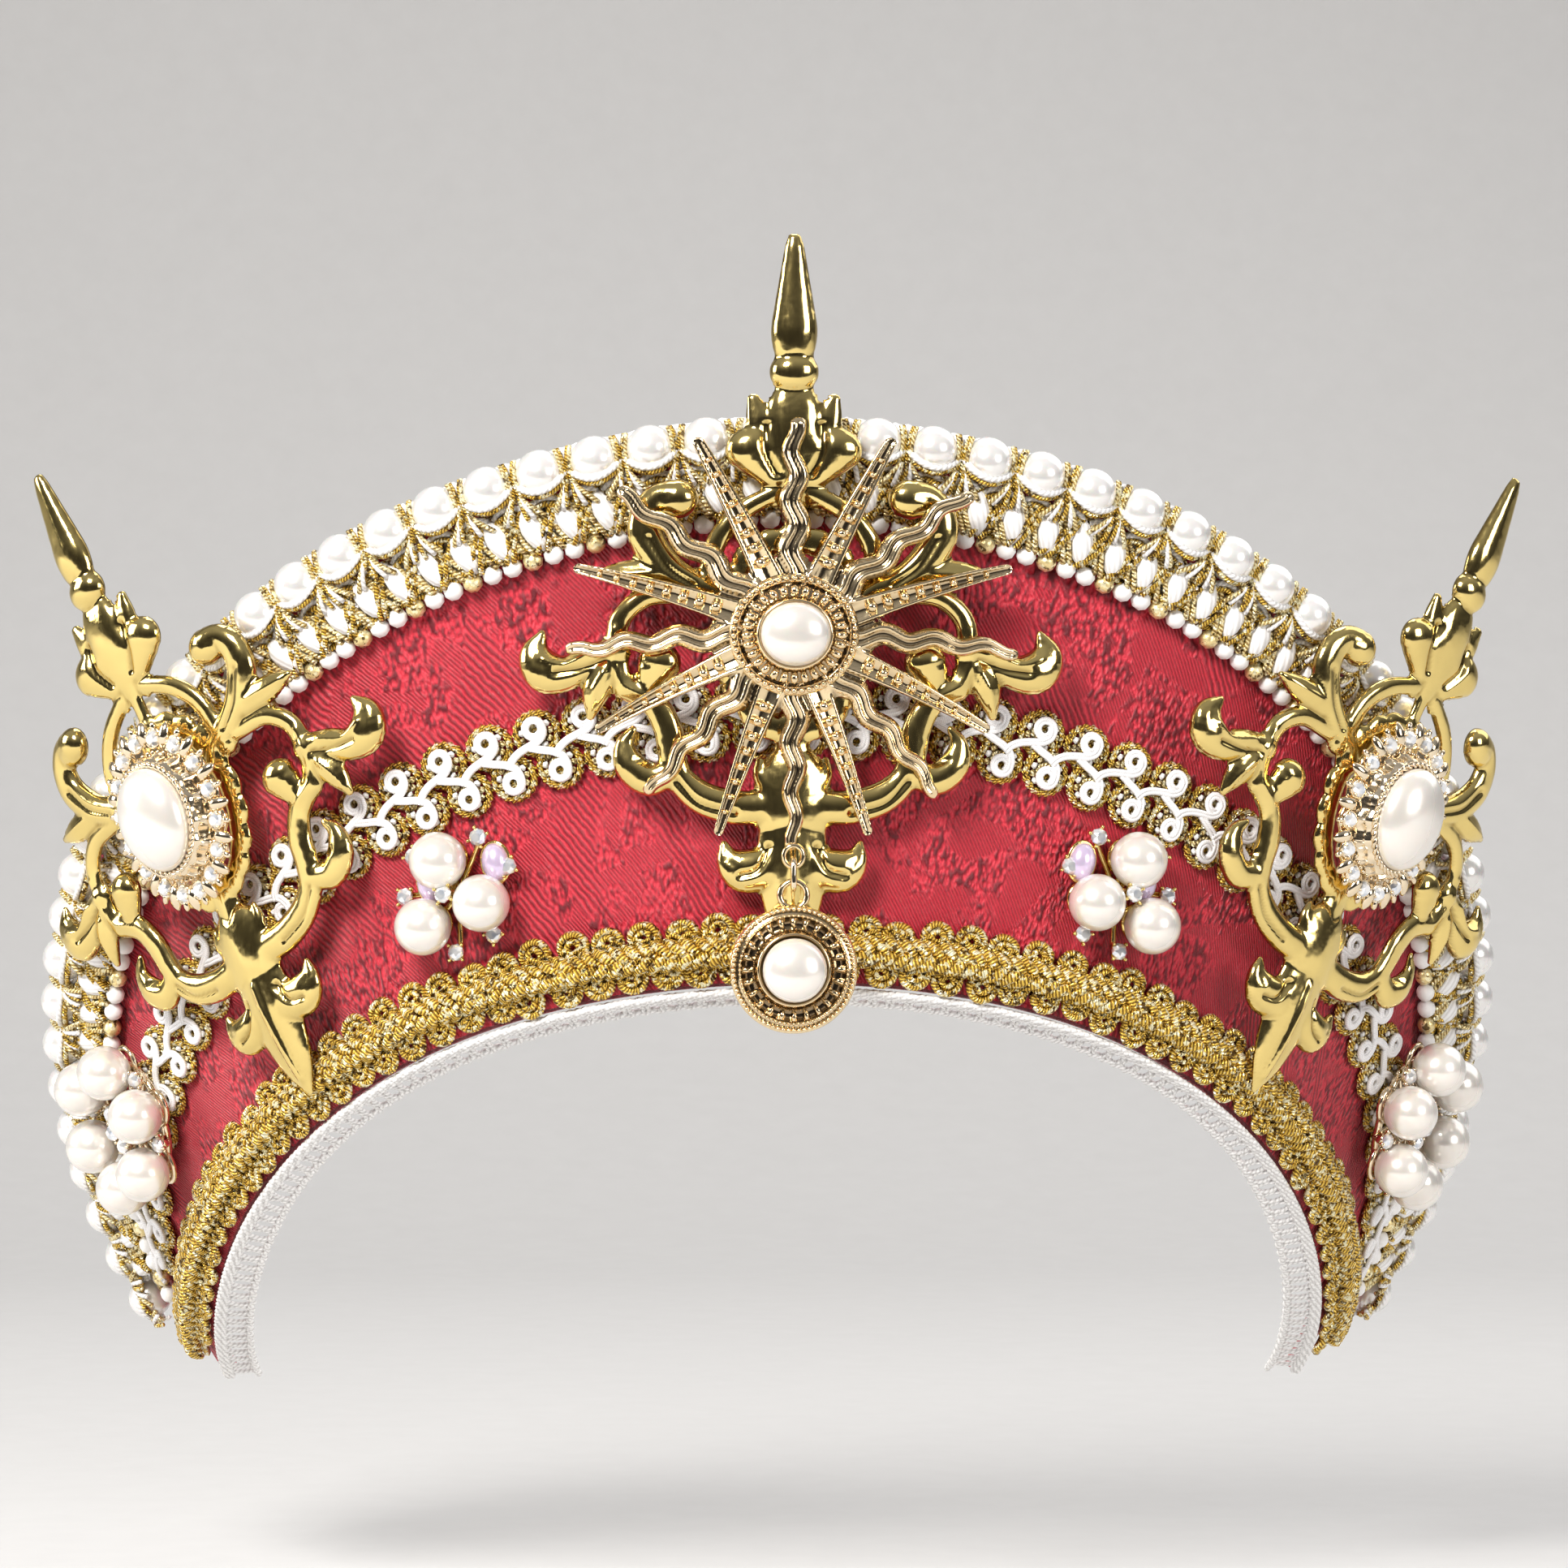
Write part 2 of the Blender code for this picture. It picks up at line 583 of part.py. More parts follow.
def make_drop():
    """The link, the disc with its bail and the disc's pearl, hanging plumb under the star."""
    hinge = hinge_point()
    swing = bpy.data.objects.new("drop_swing", None)
    swing.location = hinge
    PARTS.objects.link(swing)
    link = []
    for centre, first in ((0.0, 0.0), (-LINK_SPAN, math.pi)):
        for i in range(7):
            step = first + math.pi * i / 6.0
            link.append((0.0, LINK_RADIUS * math.cos(step), centre + LINK_RADIUS * math.sin(step), 1.0))
    jump_ring = curve_mesh("jump_ring", link, LINK_WIRE, sides=6, closed=True)
    bail_centre = -LINK_SPAN - BAIL_RADIUS
    disc_centre = bail_centre - BAIL_RADIUS - DISC_RADIUS + DISC_OVERLAP
    disc = turned("disc", DISC_PROFILE, 16)
    disc.transform(Matrix.Translation((0.0, 0.0, disc_centre)) @ Matrix.Rotation(math.pi / 2.0, 4, "X"))
    forward = Vector((0.0, -1.0, 0.0))
    bail = ring_mesh("bail", BAIL_RADIUS, BAIL_WIRE, Vector((0.0, 0.0, bail_centre)), forward)
    pendant = fuse("pendant_disc", disc, [bail])
    pearl_front = DISC_SEAT + SEAT_GAP + DOME * DISC_PEARL_RADIUS
    pearl = ball("pendant_pearl", DISC_PEARL_RADIUS, Vector((0.0, -pearl_front, disc_centre)), forward, 12, 6,
                 (1.0, 1.0, DOME))
    for name, mesh, finish in (("jump_ring", jump_ring, "pale_gilt"), ("pendant_disc", pendant, "rose_gilt"),
                               ("pendant_pearl", pearl, "pearl")):
        add_object(name, mesh, finish).parent = swing


def make_side_brooches():
    """Oval settings with a domed pearl stone, on the side stampings."""
    stretch = (BROOCH_HALF_WIDTH / BROOCH_PROFILE_RADIUS, BROOCH_HALF_HEIGHT / BROOCH_PROFILE_RADIUS)
    middle = Vector((0.0, 0.0, BROOCH_SEAT + SEAT_GAP + BROOCH_PEARL[2]))
    height = SIDE_STAMP_HEIGHT + SIDE_STAMP_SCALE * RIVET_RISE
    for name, side in (("left", -1.0), ("right", 1.0)):
        dish = turned("dish", BROOCH_PROFILE, 16, stretch)
        stone = ball("stone", 1.0, middle, sides=12, rings=6, squash=BROOCH_PEARL)
        angle = side * SIDE_STAMP_ANGLE
        add_object("brooch_" + name, wrap(dish, angle, height, brooch_out), "pale_gilt")
        add_object("brooch_pearl_" + name, wrap(stone, angle, height, brooch_out), "pearl")


def flat_plate(name, outline, thickness):
    """A flat outline of (x, y) points, filled and given its thickness."""
    curve = bpy.data.curves.new(name, "CURVE")
    curve.dimensions = "2D"
    curve.fill_mode = "BOTH"
    curve.extrude = thickness / 2.0
    spline = curve.splines.new("POLY")
    spline.points.add(len(outline) - 1)
    for slot, (x, y) in zip(spline.points, outline):
        slot.co = (x, y, 0.0, 1.0)
    spline.use_cyclic_u = True
    guide = bpy.data.objects.new(name, curve)
    GUIDES.objects.link(guide)
    bpy.context.view_layer.update()
    mesh = bpy.data.meshes.new_from_object(guide.evaluated_get(bpy.context.evaluated_depsgraph_get()))
    bpy.data.objects.remove(guide)
    bm = bmesh.new()
    bm.from_mesh(mesh)
    bpy.data.meshes.remove(mesh)
    bmesh.ops.remove_doubles(bm, verts=bm.verts[:], dist=0.00001)
    bm.transform(Matrix.Translation((0.0, 0.0, thickness / 2.0)))
    return finish_mesh(bm, name)


def square_stone(place, level):
    """A square-set stone: a box with a smaller table."""
    bm = bmesh.new()
    bmesh.ops.create_cone(bm, cap_ends=True, segments=4, radius1=0.75 * STONE_SIZE, radius2=0.45 * STONE_SIZE,
                          depth=STONE_DEPTH, matrix=Matrix.Translation((place[0] * MM, place[1] * MM, level)))
    return finish_mesh(bm, "stone")


def setting(name, stones, angle, height, out, side):
    """A flat openwork setting with a square stone at the end of each arm."""
    outline = []
    for x, y in sorted(stones, key=lambda stone: math.atan2(stone[1], stone[0])):
        reach = (math.hypot(x, y) + 1.0) * MM
        for offset in (-0.16, 0.16):
            turn = math.atan2(y, x) + offset
            outline.append((reach * math.cos(turn) * side, reach * math.sin(turn)))
    plate = flat_plate("plate", outline, PLATE_THICK)
    raised = [square_stone((x * side, y), PLATE_THICK + 0.4 * MM) for x, y in stones]
    add_object(name, wrap(fuse(name, plate, raised), side * angle, height, lambda up: out), "gilt")


def ornament_pearls(name, places, angle, height, base, side):
    """The pearls of a setting, each its own piece."""
    for number, (x, y) in enumerate(places, start=1):
        turn = x * MM / (HALF_WIDTH + height * math.sin(FLARE))
        out = base + PLATE_THICK + SEAT_GAP + ORNAMENT_PEARL_RADIUS
        spot = crown_point(side * (angle + turn), height + y * MM, out)
        mesh = ball("pearl", ORNAMENT_PEARL_RADIUS, Vector((0.0, 0.0, 0.0)), Vector((0.0, -1.0, 0.0)), 10, 4)
        add_object("%s_%d" % (name, number), mesh, "pearl").location = spot


def make_settings():
    """The front clusters of three pearls and the side rosettes of six."""
    def round_places(radius, first):
        turns = [math.radians(first + 60.0 * i) for i in range(6)]
        return [(radius / MM * math.sin(turn), radius / MM * math.cos(turn)) for turn in turns]
    ring = round_places(ROSETTE_RADIUS, 12.0)
    between = round_places(1.1 * ROSETTE_RADIUS, 42.0)
    for name, side in (("left", -1.0), ("right", 1.0)):
        front = (CLUSTER_ANGLE, CLUSTER_HEIGHT, CLUSTER_OUT, side)
        back = (ROSETTE_ANGLE, ROSETTE_HEIGHT, ROSETTE_OUT, side)
        setting("cluster_" + name, CLUSTER_STONES, *front)
        ornament_pearls("cluster_pearl_" + name, CLUSTER_PEARLS, *front)
        setting("rosette_" + name, between, *back)
        ornament_pearls("rosette_pearl_" + name, ring, *back)


for old in list(bpy.data.objects):
    bpy.data.objects.remove(old)
PARTS = bpy.data.collections.new(NAME)
GUIDES = bpy.data.collections.new("guides")
bpy.context.scene.collection.children.link(PARTS)
bpy.context.scene.collection.children.link(GUIDES)

make_panel()
make_lace()
make_gold_braid()
make_scroll_braid()
make_trim_band()
make_piping()
make_pearl_string()
make_stampings()
make_star()
make_drop()
make_side_brooches()
make_settings()
bpy.context.view_layer.update()
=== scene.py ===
"""Looks of the red brocade crown: textiles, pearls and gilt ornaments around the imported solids.

Patterns are laid out in millimetres, flat or on rails that follow the crown. They are then
placed on the crown's leaning, flared panel, and the meshes are made in metres.
"""

import math

import bpy
import numpy as np
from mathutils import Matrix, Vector


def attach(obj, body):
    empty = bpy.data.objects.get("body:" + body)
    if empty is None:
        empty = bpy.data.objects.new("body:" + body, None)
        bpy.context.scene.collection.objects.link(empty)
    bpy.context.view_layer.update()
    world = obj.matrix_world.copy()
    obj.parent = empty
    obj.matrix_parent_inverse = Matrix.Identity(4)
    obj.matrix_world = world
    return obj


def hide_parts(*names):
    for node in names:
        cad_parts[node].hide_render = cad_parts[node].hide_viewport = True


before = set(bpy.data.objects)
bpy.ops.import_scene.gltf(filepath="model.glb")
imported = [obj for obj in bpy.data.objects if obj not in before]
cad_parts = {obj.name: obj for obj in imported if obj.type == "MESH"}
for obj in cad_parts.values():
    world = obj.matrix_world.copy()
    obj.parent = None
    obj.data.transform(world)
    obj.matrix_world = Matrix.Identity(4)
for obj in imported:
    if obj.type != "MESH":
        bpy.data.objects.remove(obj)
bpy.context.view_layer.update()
MM = 0.001
TURN = 2.0 * math.pi
UP = (0.0, 0.0, 1.0)

# Crown form, in millimetres and radians. An angle goes round the head from the middle of the front.
HALF_WIDTH = 90.4
HALF_DEPTH = 87.8
FLARE = math.radians(31.7)
LEAN = math.radians(30.65)
TIP_ANGLE = math.radians(100.9)
FRONT_PEARL_HEIGHT = 75.6
TIP_PEARL_HEIGHT = 3.6
SIDE_DIP = 4.3
BACK_DIP = 8.0
PANEL_THICKNESS = 2.2
PANEL_RISE = 1.2
PEARL_RADIUS = 3.3
PEARL_PITCH = 7.87
PEARLS_PER_SIDE = 28
PEARL_OUT = 3.6
GOLD_BRAID_HEIGHT = 10.0
SCROLL_BRAID_HEIGHT = 10.8

# Stampings and ornaments. A cluster or rosette is (angle, height, distance off the panel),
# and a step is the spacing of the grid that a relief is drawn on.
STAMP_HEIGHT = 44.6
SIDE_STAMP_HEIGHT = 43.0
SIDE_STAMP_ANGLE = math.radians(45.6)
SIDE_STAMP_SCALE = 0.962
RIVET_RISE = 3.7
STAR_HEIGHT = STAMP_HEIGHT + RIVET_RISE
BROOCH_HEIGHT = SIDE_STAMP_HEIGHT + SIDE_STAMP_SCALE * RIVET_RISE
STAR_REACH = 29.5
BROOCH_OUT = 2.42
STAMP_STEP = 0.345
STAR_STEP = 0.255
CLUSTER = (math.radians(27.0), 19.5, 0.6)
ROSETTE = (math.radians(70.5), 23.0, 2.85)
HINGE = (0.0, -83.32, 61.17)

RANDOM = np.random.default_rng(11)


def rim_height(angle):
    """How far the base line dips below the base plane."""
    side = np.sin(angle) ** 2
    return -(SIDE_DIP * side + BACK_DIP * side * side)


def base_to_world(angle, radial, up):
    """Points given round the leaning base ellipse, out from it and up from its plane."""
    x = (HALF_WIDTH + radial) * np.sin(angle)
    y = -(HALF_DEPTH + radial) * np.cos(angle)
    cos, sin = math.cos(LEAN), math.sin(LEAN)
    return np.stack([x, y * cos + up * sin, up * cos - y * sin], -1)


def crown_points(angle, height, out):
    """Points on the flared panel: angle round the head, height up the slope, distance off its face."""
    angle, height, out = np.broadcast_arrays(angle, height, out)
    dip = rim_height(angle)
    radial = dip * math.tan(FLARE) + height * math.sin(FLARE) + out * math.cos(FLARE)
    return base_to_world(angle, radial, dip + height * math.cos(FLARE) - out * math.sin(FLARE))


def pearl_height(angle):
    """Height up the slope of the pearl edging's middle line."""
    share = np.minimum(np.abs(angle) / TIP_ANGLE, 1.0)
    return TIP_PEARL_HEIGHT + (FRONT_PEARL_HEIGHT - TIP_PEARL_HEIGHT) * (1.0 - share ** 1.6) ** 0.65


def panel_top(angle):
    """Height up the slope of the panel's top edge."""
    return pearl_height(angle) + PANEL_RISE


def gold_braid_top(angle):
    """Upper edge of the gold braid, which narrows at the crown's tips."""
    return np.maximum(np.minimum(GOLD_BRAID_HEIGHT, pearl_height(angle) - 3.9), 1.0)


def trim_bottom(angle):
    """Lower edge of the woven trim under the pearls."""
    return pearl_height(angle) - 11.2


def scroll_middle(angle):
    """Height of the scroll braid's middle line."""
    return 0.5 * (gold_braid_top(angle) + trim_bottom(angle))


def stamp_out(height, foot_out, pearl_out, crown_angle):
    """Distance of a stamping's back off the panel."""
    crossing = float(pearl_height(crown_angle)) - PEARL_RADIUS
    return foot_out + (height - 3.0) * (pearl_out - foot_out) / (crossing - 3.0)


def centre_out(height):
    return stamp_out(height, 2.8, 6.9, 0.0)


def side_out(height):
    return stamp_out(height, 4.4, 7.3, SIDE_STAMP_ANGLE)


def on_crown(angle, height, out_at, side=1.0, scale=1.0):
    """A function that wraps flat points (sideways, up, out) round the crown at one place."""
    def place(flat):
        up = height + flat[:, 1] * scale
        turn = side * flat[:, 0] * scale / (HALF_WIDTH + height * math.sin(FLARE))
        return crown_points(side * angle + turn, up, out_at(up) + flat[:, 2] * scale)
    return place


def unit(vectors):
    return vectors / np.maximum(np.linalg.norm(vectors, axis=-1, keepdims=True), 1e-9)
def full_turn(count):
    """Evenly spaced angles round a full turn."""
    return TURN * np.arange(count) / count


def tip_to_tip(count):
    """Angles from one tip of the crown to the other, closer together near the tips."""
    return TIP_ANGLE * np.sin(np.linspace(-1.0, 1.0, count) * math.pi / 2.0)


def distance_along(points):
    return np.concatenate([[0.0], np.cumsum(np.linalg.norm(np.diff(points, axis=0), axis=1))])


def smooth_path(rows, per=6, closed=False):
    """Rows of numbers joined by a smooth curve through every row."""
    rows = np.asarray(rows, float)
    if closed:
        padded = np.vstack([rows[-1], rows, rows[:2]])
    else:
        padded = np.vstack([2 * rows[0] - rows[1], rows, 2 * rows[-1] - rows[-2]])
    t = np.linspace(0.0, 1.0, per, endpoint=False)[:, None]
    parts = []
    for a, b, c, d in zip(padded, padded[1:], padded[2:], padded[3:]):
        parts.append(0.5 * (2 * b + (c - a) * t + (2 * a - 5 * b + 4 * c - d) * t ** 2
                            + (3 * b - a - 3 * c + d) * t ** 3))
    if not closed:
        parts.append(rows[-1:])
    return np.vstack(parts)


class Rail:
    """A line on the crown: where it runs, which way is across it and which way is off the panel."""

    def __init__(self, height, end):
        angle = end * tip_to_tip(3001)
        self.spots = crown_points(angle, height(angle), 0.0)
        self.out = unit(crown_points(angle, height(angle), 1.0) - self.spots)
        self.across = unit(np.cross(self.out, unit(np.gradient(self.spots, axis=0))))
        run = distance_along(self.spots)
        self.run = run - run[1500]
        self.reach = self.run[-1]
        self.angle = angle

    def look_up(self, table, along):
        if table.ndim == 1:
            return np.interp(along, self.run, table)
        return np.stack([np.interp(along, self.run, table[:, k]) for k in range(3)], -1)

    def at(self, path):
        """World points of a path given as (along, across, off) rows."""
        path = np.asarray(path, float)
        along = np.clip(path[:, 0], -self.reach, self.reach)
        return (self.look_up(self.spots, along) + path[:, 1:2] * self.look_up(self.across, along)
                + path[:, 2:3] * self.look_up(self.out, along))

    def off(self, path):
        """The direction off the panel at each row of a path."""
        return self.look_up(self.out, np.asarray(path, float)[:, 0])


def grid_quads(rows, columns, closed_rows=False, closed_columns=False):
    """The quads that join a grid of points: their point numbers, and their rows and columns unwrapped."""
    i, j = np.meshgrid(np.arange(rows if closed_rows else rows - 1),
                       np.arange(columns if closed_columns else columns - 1), indexing="ij")
    row = np.stack([i, i, i + 1, i + 1], -1).reshape(-1, 4)
    column = np.stack([j, j + 1, j + 1, j], -1).reshape(-1, 4)
    return row % rows * columns + column % columns, row, column


class Shape:
    """Closed forms gathered into one mesh, in millimetres, with a UV map in millimetres."""

    def __init__(self):
        self.verts, self.faces, self.uvs, self.slots, self.marks = [], [], [], [], []
        self.count = 0

    def add(self, verts, faces, uvs=None, slot=0, mark=0.0):
        self.patch(np.asarray(faces, int) + self.count, slot, uvs)
        self.verts.append(np.asarray(verts, float))
        self.marks.append(np.broadcast_to(mark, len(verts)).astype(float))
        self.count += len(verts)

    def patch(self, faces, slot=0, uvs=None):
        """Faces on points that are there already."""
        self.faces.append(faces)
        self.uvs.append(np.zeros((*faces.shape, 2)) if uvs is None else uvs)
        self.slots.append(np.full(len(faces), slot))

    def fan(self, ring, apex, slot, way):
        """Triangles from a ring of points to one point."""
        self.patch(np.stack([ring, np.roll(ring, -1), np.full(len(ring), apex)], -1)[:, ::way], slot)

    def tube(self, points, radius, ref, sides=6, closed=False, slot=0, squash=1.0):
        """A round section swept along points, with ref the direction that its flat side faces."""
        points = np.asarray(points, float)
        n = len(points)
        radius = np.broadcast_to(np.asarray(radius, float), n)[:, None, None]
        step = np.roll(points, -1, 0) - np.roll(points, 1, 0) if closed else np.gradient(points, axis=0)
        step = unit(step)
        across = unit(np.cross(np.broadcast_to(np.asarray(ref, float), (n, 3)), step))
        rise = np.cross(step, across)
        turn = full_turn(sides)[None, :, None]
        around = np.cos(turn) * across[:, None] + squash * np.sin(turn) * rise[:, None]
        ring = points[:, None] + radius * around
        quads, row, column = grid_quads(n, sides, closed, True)
        run = distance_along(np.vstack([points, points[:1]]))
        ends = self.count + np.arange(sides)
        self.add(ring.reshape(-1, 3), quads, np.stack([run[row], column / sides], -1), slot)
        if not closed:
            self.add(points[[0, -1]], np.zeros((0, 3), int))
            self.fan(ends, self.count - 2, slot, -1)
            self.fan(ends + (n - 1) * sides, self.count - 1, slot, 1)

    def ball(self, centre, radii, axes=None, sides=16, rings=10, slot=0):
        """An ellipsoid with its pole along the third of its axes, or a sphere for one radius."""
        axes = np.eye(3) if axes is None else np.asarray(axes, float)
        tilt = math.pi * np.arange(1, rings) / rings
        turn = full_turn(sides)
        body = np.stack([np.outer(np.sin(tilt), np.cos(turn)), np.outer(np.sin(tilt), np.sin(turn)),
                         np.outer(np.cos(tilt), np.ones(sides))], -1).reshape(-1, 3)
        verts = np.vstack([body, [0.0, 0.0, 1.0], [0.0, 0.0, -1.0]]) * np.asarray(radii, float)
        quads = grid_quads(rings - 1, sides, False, True)[0]
        ring = self.count + np.arange(sides)
        self.add(verts @ axes + centre, quads[:, [0, 3, 2, 1]], slot=slot)
        self.fan(ring, self.count - 2, slot, 1)
        self.fan(ring + (rings - 2) * sides, self.count - 1, slot, -1)

    def sheet(self, grid, uv=None, closed_rows=False, closed_columns=False):
        """A grid of points joined by quads. Rows run first, and a closed way wraps round."""
        quads = grid_quads(*grid.shape[:2], closed_rows, closed_columns)[0]
        self.add(grid.reshape(-1, 3), quads, None if uv is None else uv.reshape(-1, 2)[quads])

    def build(self, name, finishes, slot, nodes=(), place=None, body="crown", flat=False, way=1):
        """Makes the piece, placed by a function of its points or left where it is.

        slot is not used, nodes are the solids that the piece stands for, and
        way is -1 where place mirrors the points.
        """
        verts = np.vstack(self.verts)
        if place:
            verts = place(verts)
        faces = [face for block in self.faces for face in block[:, ::way].tolist()]
        mesh = bpy.data.meshes.new(name)
        mesh.from_pydata((verts * MM).tolist(), [], faces)
        layer = mesh.uv_layers.new(name="UVMap")
        layer.data.foreach_set("uv", np.concatenate([block.reshape(-1) for block in self.uvs]))
        # The mark: how much painted recess shade a metal gets at each point.
        mark = mesh.attributes.new("mark", "FLOAT", "POINT")
        mark.data.foreach_set("value", np.concatenate(self.marks))
        for finish in finishes:
            mesh.materials.append(finish)
        mesh.polygons.foreach_set("material_index", np.concatenate(self.slots))
        if flat:
            mesh.shade_flat()
        else:
            mesh.shade_smooth()
        mesh.update()
        piece = bpy.data.objects.new(name, mesh)
        bpy.context.scene.collection.objects.link(piece)
        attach(piece, body)
        if nodes:
            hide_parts(*nodes)


# Materials

class Nodes:
    """A node tree, with short names for the nodes that the patterns need."""

    def __init__(self, owner):
        owner.use_nodes = True
        self.tree = owner.node_tree

    def new(self, kind, inputs=None, **settings):
        """A node with its settings and its inputs, each a value or a socket to link."""
        made = self.tree.nodes.new(kind)
        for key, value in settings.items():
            setattr(made, key, value)
        for key, value in (inputs or {}).items():
            if isinstance(value, bpy.types.NodeSocket):
                self.tree.links.new(value, made.inputs[key])
            else:
                made.inputs[key].default_value = value
        return made

    def maths(self, operation, *values):
        return self.new("ShaderNodeMath", dict(enumerate(values)), operation=operation).outputs[0]

    def add(self, first, second):
        return self.maths("ADD", first, second)

    def times(self, first, second):
        return self.maths("MULTIPLY", first, second)

    def blend(self, factor, first, second):
        """Mixes two colours, given as triples or sockets."""
        pair = [(*value, 1.0) if isinstance(value, tuple) else value for value in (first, second)]
        return self.new("ShaderNodeMix", {0: factor, 6: pair[0], 7: pair[1]}, data_type="RGBA").outputs[2]

    def soft_step(self, value, low, high):
        """0 below low, 1 above high, and smooth between them."""
        made = self.new("ShaderNodeMapRange", {"Value": value, "From Min": low, "From Max": high})
        made.interpolation_type = "SMOOTHSTEP"
        return made.outputs["Result"]

    def noise(self, vector, scale, detail=2.0, rough=0.5, distortion=0.0):
        return self.new("ShaderNodeTexNoise", {"Vector": vector, "Scale": scale, "Detail": detail,
                                               "Roughness": rough, "Distortion": distortion}).outputs[0]

    def scaled(self, vector, factors):
        return self.new("ShaderNodeMapping", {"Vector": vector, "Scale": factors}).outputs[0]

    def place(self, per_metre=1000.0):
        """Object coordinates in millimetres."""
        coords = self.new("ShaderNodeTexCoord")
        return self.scaled(coords.outputs["Object"], (per_metre, per_metre, per_metre))

    def uv_parts(self):
        """The UV map as a vector and its two parts, in millimetres."""
        coords = self.new("ShaderNodeUVMap", uv_map="UVMap")
        parts = self.new("ShaderNodeSeparateXYZ", {0: coords.outputs[0]})
        return coords.outputs[0], parts.outputs[0], parts.outputs[1]


class Paint(Nodes):
    """A material, with the settings that are the same all over set on its shader."""

    def __init__(self, name, colour, rough, metal=0.0, **more):
        self.finish = bpy.data.materials.new(name)
        super().__init__(self.finish)
        self.shader = self.tree.nodes["Principled BSDF"]
        more = {"Base Color": (*colour, 1.0), "Roughness": rough, "Metallic": metal, **more}
        for socket, value in more.items():
            self.shader.inputs[socket.replace("_", " ")].default_value = value

    def drive(self, socket, value):
        self.tree.links.new(value, self.shader.inputs[socket])

    def bump(self, height, distance, strength=1.0):
        made = self.new("ShaderNodeBump", {"Height": height, "Distance": distance, "Strength": strength})
        self.drive("Normal", made.outputs[0])


def brocade_material():
    """Crimson figured satin: twill grounds with crepe figures and a few ribbed ones, coloured with painted
    shade in the hollows of the weave and painted sheen on its raised floats.
    """
    paint = Paint("brocade", (0.42, 0.02, 0.05), 0.5, Sheen_Weight=0.28, Sheen_Roughness=0.35,
                  Sheen_Tint=(1.0, 0.45, 0.5, 1.0), Specular_IOR_Level=0.5)
    vector, u, v = paint.uv_parts()
    figure = paint.soft_step(paint.noise(vector, 0.085, 3.0, 0.55, 1.2), 0.44, 0.54)
    broad = paint.noise(paint.scaled(vector, (1.0, 0.6, 1.0)), 0.06, 1.0, 0.4, 0.8)
    shake = paint.noise(vector, 0.3, 2.0, 0.6)

    def lines(along, up, wander, depth):
        turn = paint.add(paint.times(u, along), paint.times(v, up))
        wave = paint.maths("SINE", paint.add(turn, paint.times(shake, wander)))
        return paint.maths("MULTIPLY_ADD", wave, depth, 0.45)

    def pick(factor, low, high):
        return paint.new("ShaderNodeMix", {0: factor, 2: low, 3: high}, data_type="FLOAT").outputs[0]

    bent = paint.new("ShaderNodeMapping", {"Vector": vector, "Rotation": (0.0, 0.0, 0.4),
                                           "Scale": (1.9, 1.05, 1.0)}).outputs[0]
    grain = paint.new("ShaderNodeTexVoronoi", {"Vector": bent, "Scale": 1.0, "Randomness": 1.0},
                      feature="SMOOTH_F1").outputs["Distance"]
    satin = lines(10.6, 7.6, 4.0, 0.13)
    ribs = lines(5.8, 3.9, 8.0, 0.24)
    surface = pick(figure, satin, paint.soft_step(grain, 0.75, 0.10))
    surface = pick(paint.soft_step(broad, 0.58, 0.64), surface, ribs)
    thread = paint.noise(paint.scaled(vector, (4.2, 1.6, 1.0)), 1.0, 3.0, 0.7)
    surface = paint.add(surface, paint.times(thread, 0.45))
    # The colour follows the weave's height: dark in grooves and crepe hollows as painted shade, light on
    # raised floats as painted sheen; the thread noise adds random tone.
    tone = paint.soft_step(surface, 0.2, 1.05)
    paint.drive("Base Color", paint.blend(tone, (0.14, 0.002, 0.009), (0.70, 0.032, 0.058)))
    paint.drive("Roughness", pick(figure, 0.30, 0.46))
    paint.bump(surface, 0.0005)
    return paint.finish


def lining_material():
    """Plain woven cotton."""
    light, dark, threads = (0.80, 0.74, 0.63), (0.62, 0.55, 0.44), 7.0
    paint = Paint("lining", light, 0.85, Sheen_Weight=0.2)
    vector, u, v = paint.uv_parts()
    weave = paint.times(*(paint.maths("SINE", paint.times(way, threads)) for way in (u, v)))
    level = paint.add(paint.times(weave, 0.5), paint.noise(vector, 0.6, 4.0, 0.7))
    # Darker where the weave's threads dip: painted shade between threads; the noise adds random tone.
    paint.drive("Base Color", paint.blend(paint.soft_step(level, 0.0, 1.0), dark, light))
    paint.bump(level, 0.00012)
    return paint.finish


def cord_material(name, light, dark, rough, metal, pitch, strands=2.0, painted_glint_and_shade=0.0, depth=0.00016):
    """Twisted thread: strands that wind round a tube whose UV is (millimetres along, turn round), with
    painted shade between the strands and, on metal threads, painted glints and painted shade in dark gaps.
    """
    paint = Paint(name, light, rough, metal)
    _, u, v = paint.uv_parts()
    wind = paint.add(paint.times(u, TURN * strands / pitch), paint.times(v, TURN * strands))
    wave = paint.maths("MULTIPLY_ADD", paint.maths("SINE", wind), 0.5, 0.5)
    place = paint.place()
    level = paint.add(wave, paint.times(paint.noise(place, 1.9, 3.0, 0.7), 0.5))
    # Dark in the grooves between strands and light on their crowns: painted shade; the noise adds random
    # tone.
    colour = paint.blend(paint.soft_step(level, 0.2, 1.0), dark, light)
    # Metal threads get painted glints (bright highlight patches) and painted shade in dark gaps between
    # strands.
    if painted_glint_and_shade:
        glint = paint.soft_step(paint.noise(place, 1.35, 1.0, 0.5), 0.53, 0.60)
        colour = paint.blend(paint.times(glint, painted_glint_and_shade), colour, (1.0, 0.93, 0.62))
        painted_gap_shade = paint.soft_step(paint.noise(place, 1.1, 2.0, 0.6), 0.44, 0.36)
        colour = paint.blend(paint.times(painted_gap_shade, painted_glint_and_shade), colour, (0.10, 0.05, 0.008))
    paint.drive("Base Color", colour)
    paint.bump(level, depth)
    return paint.finish


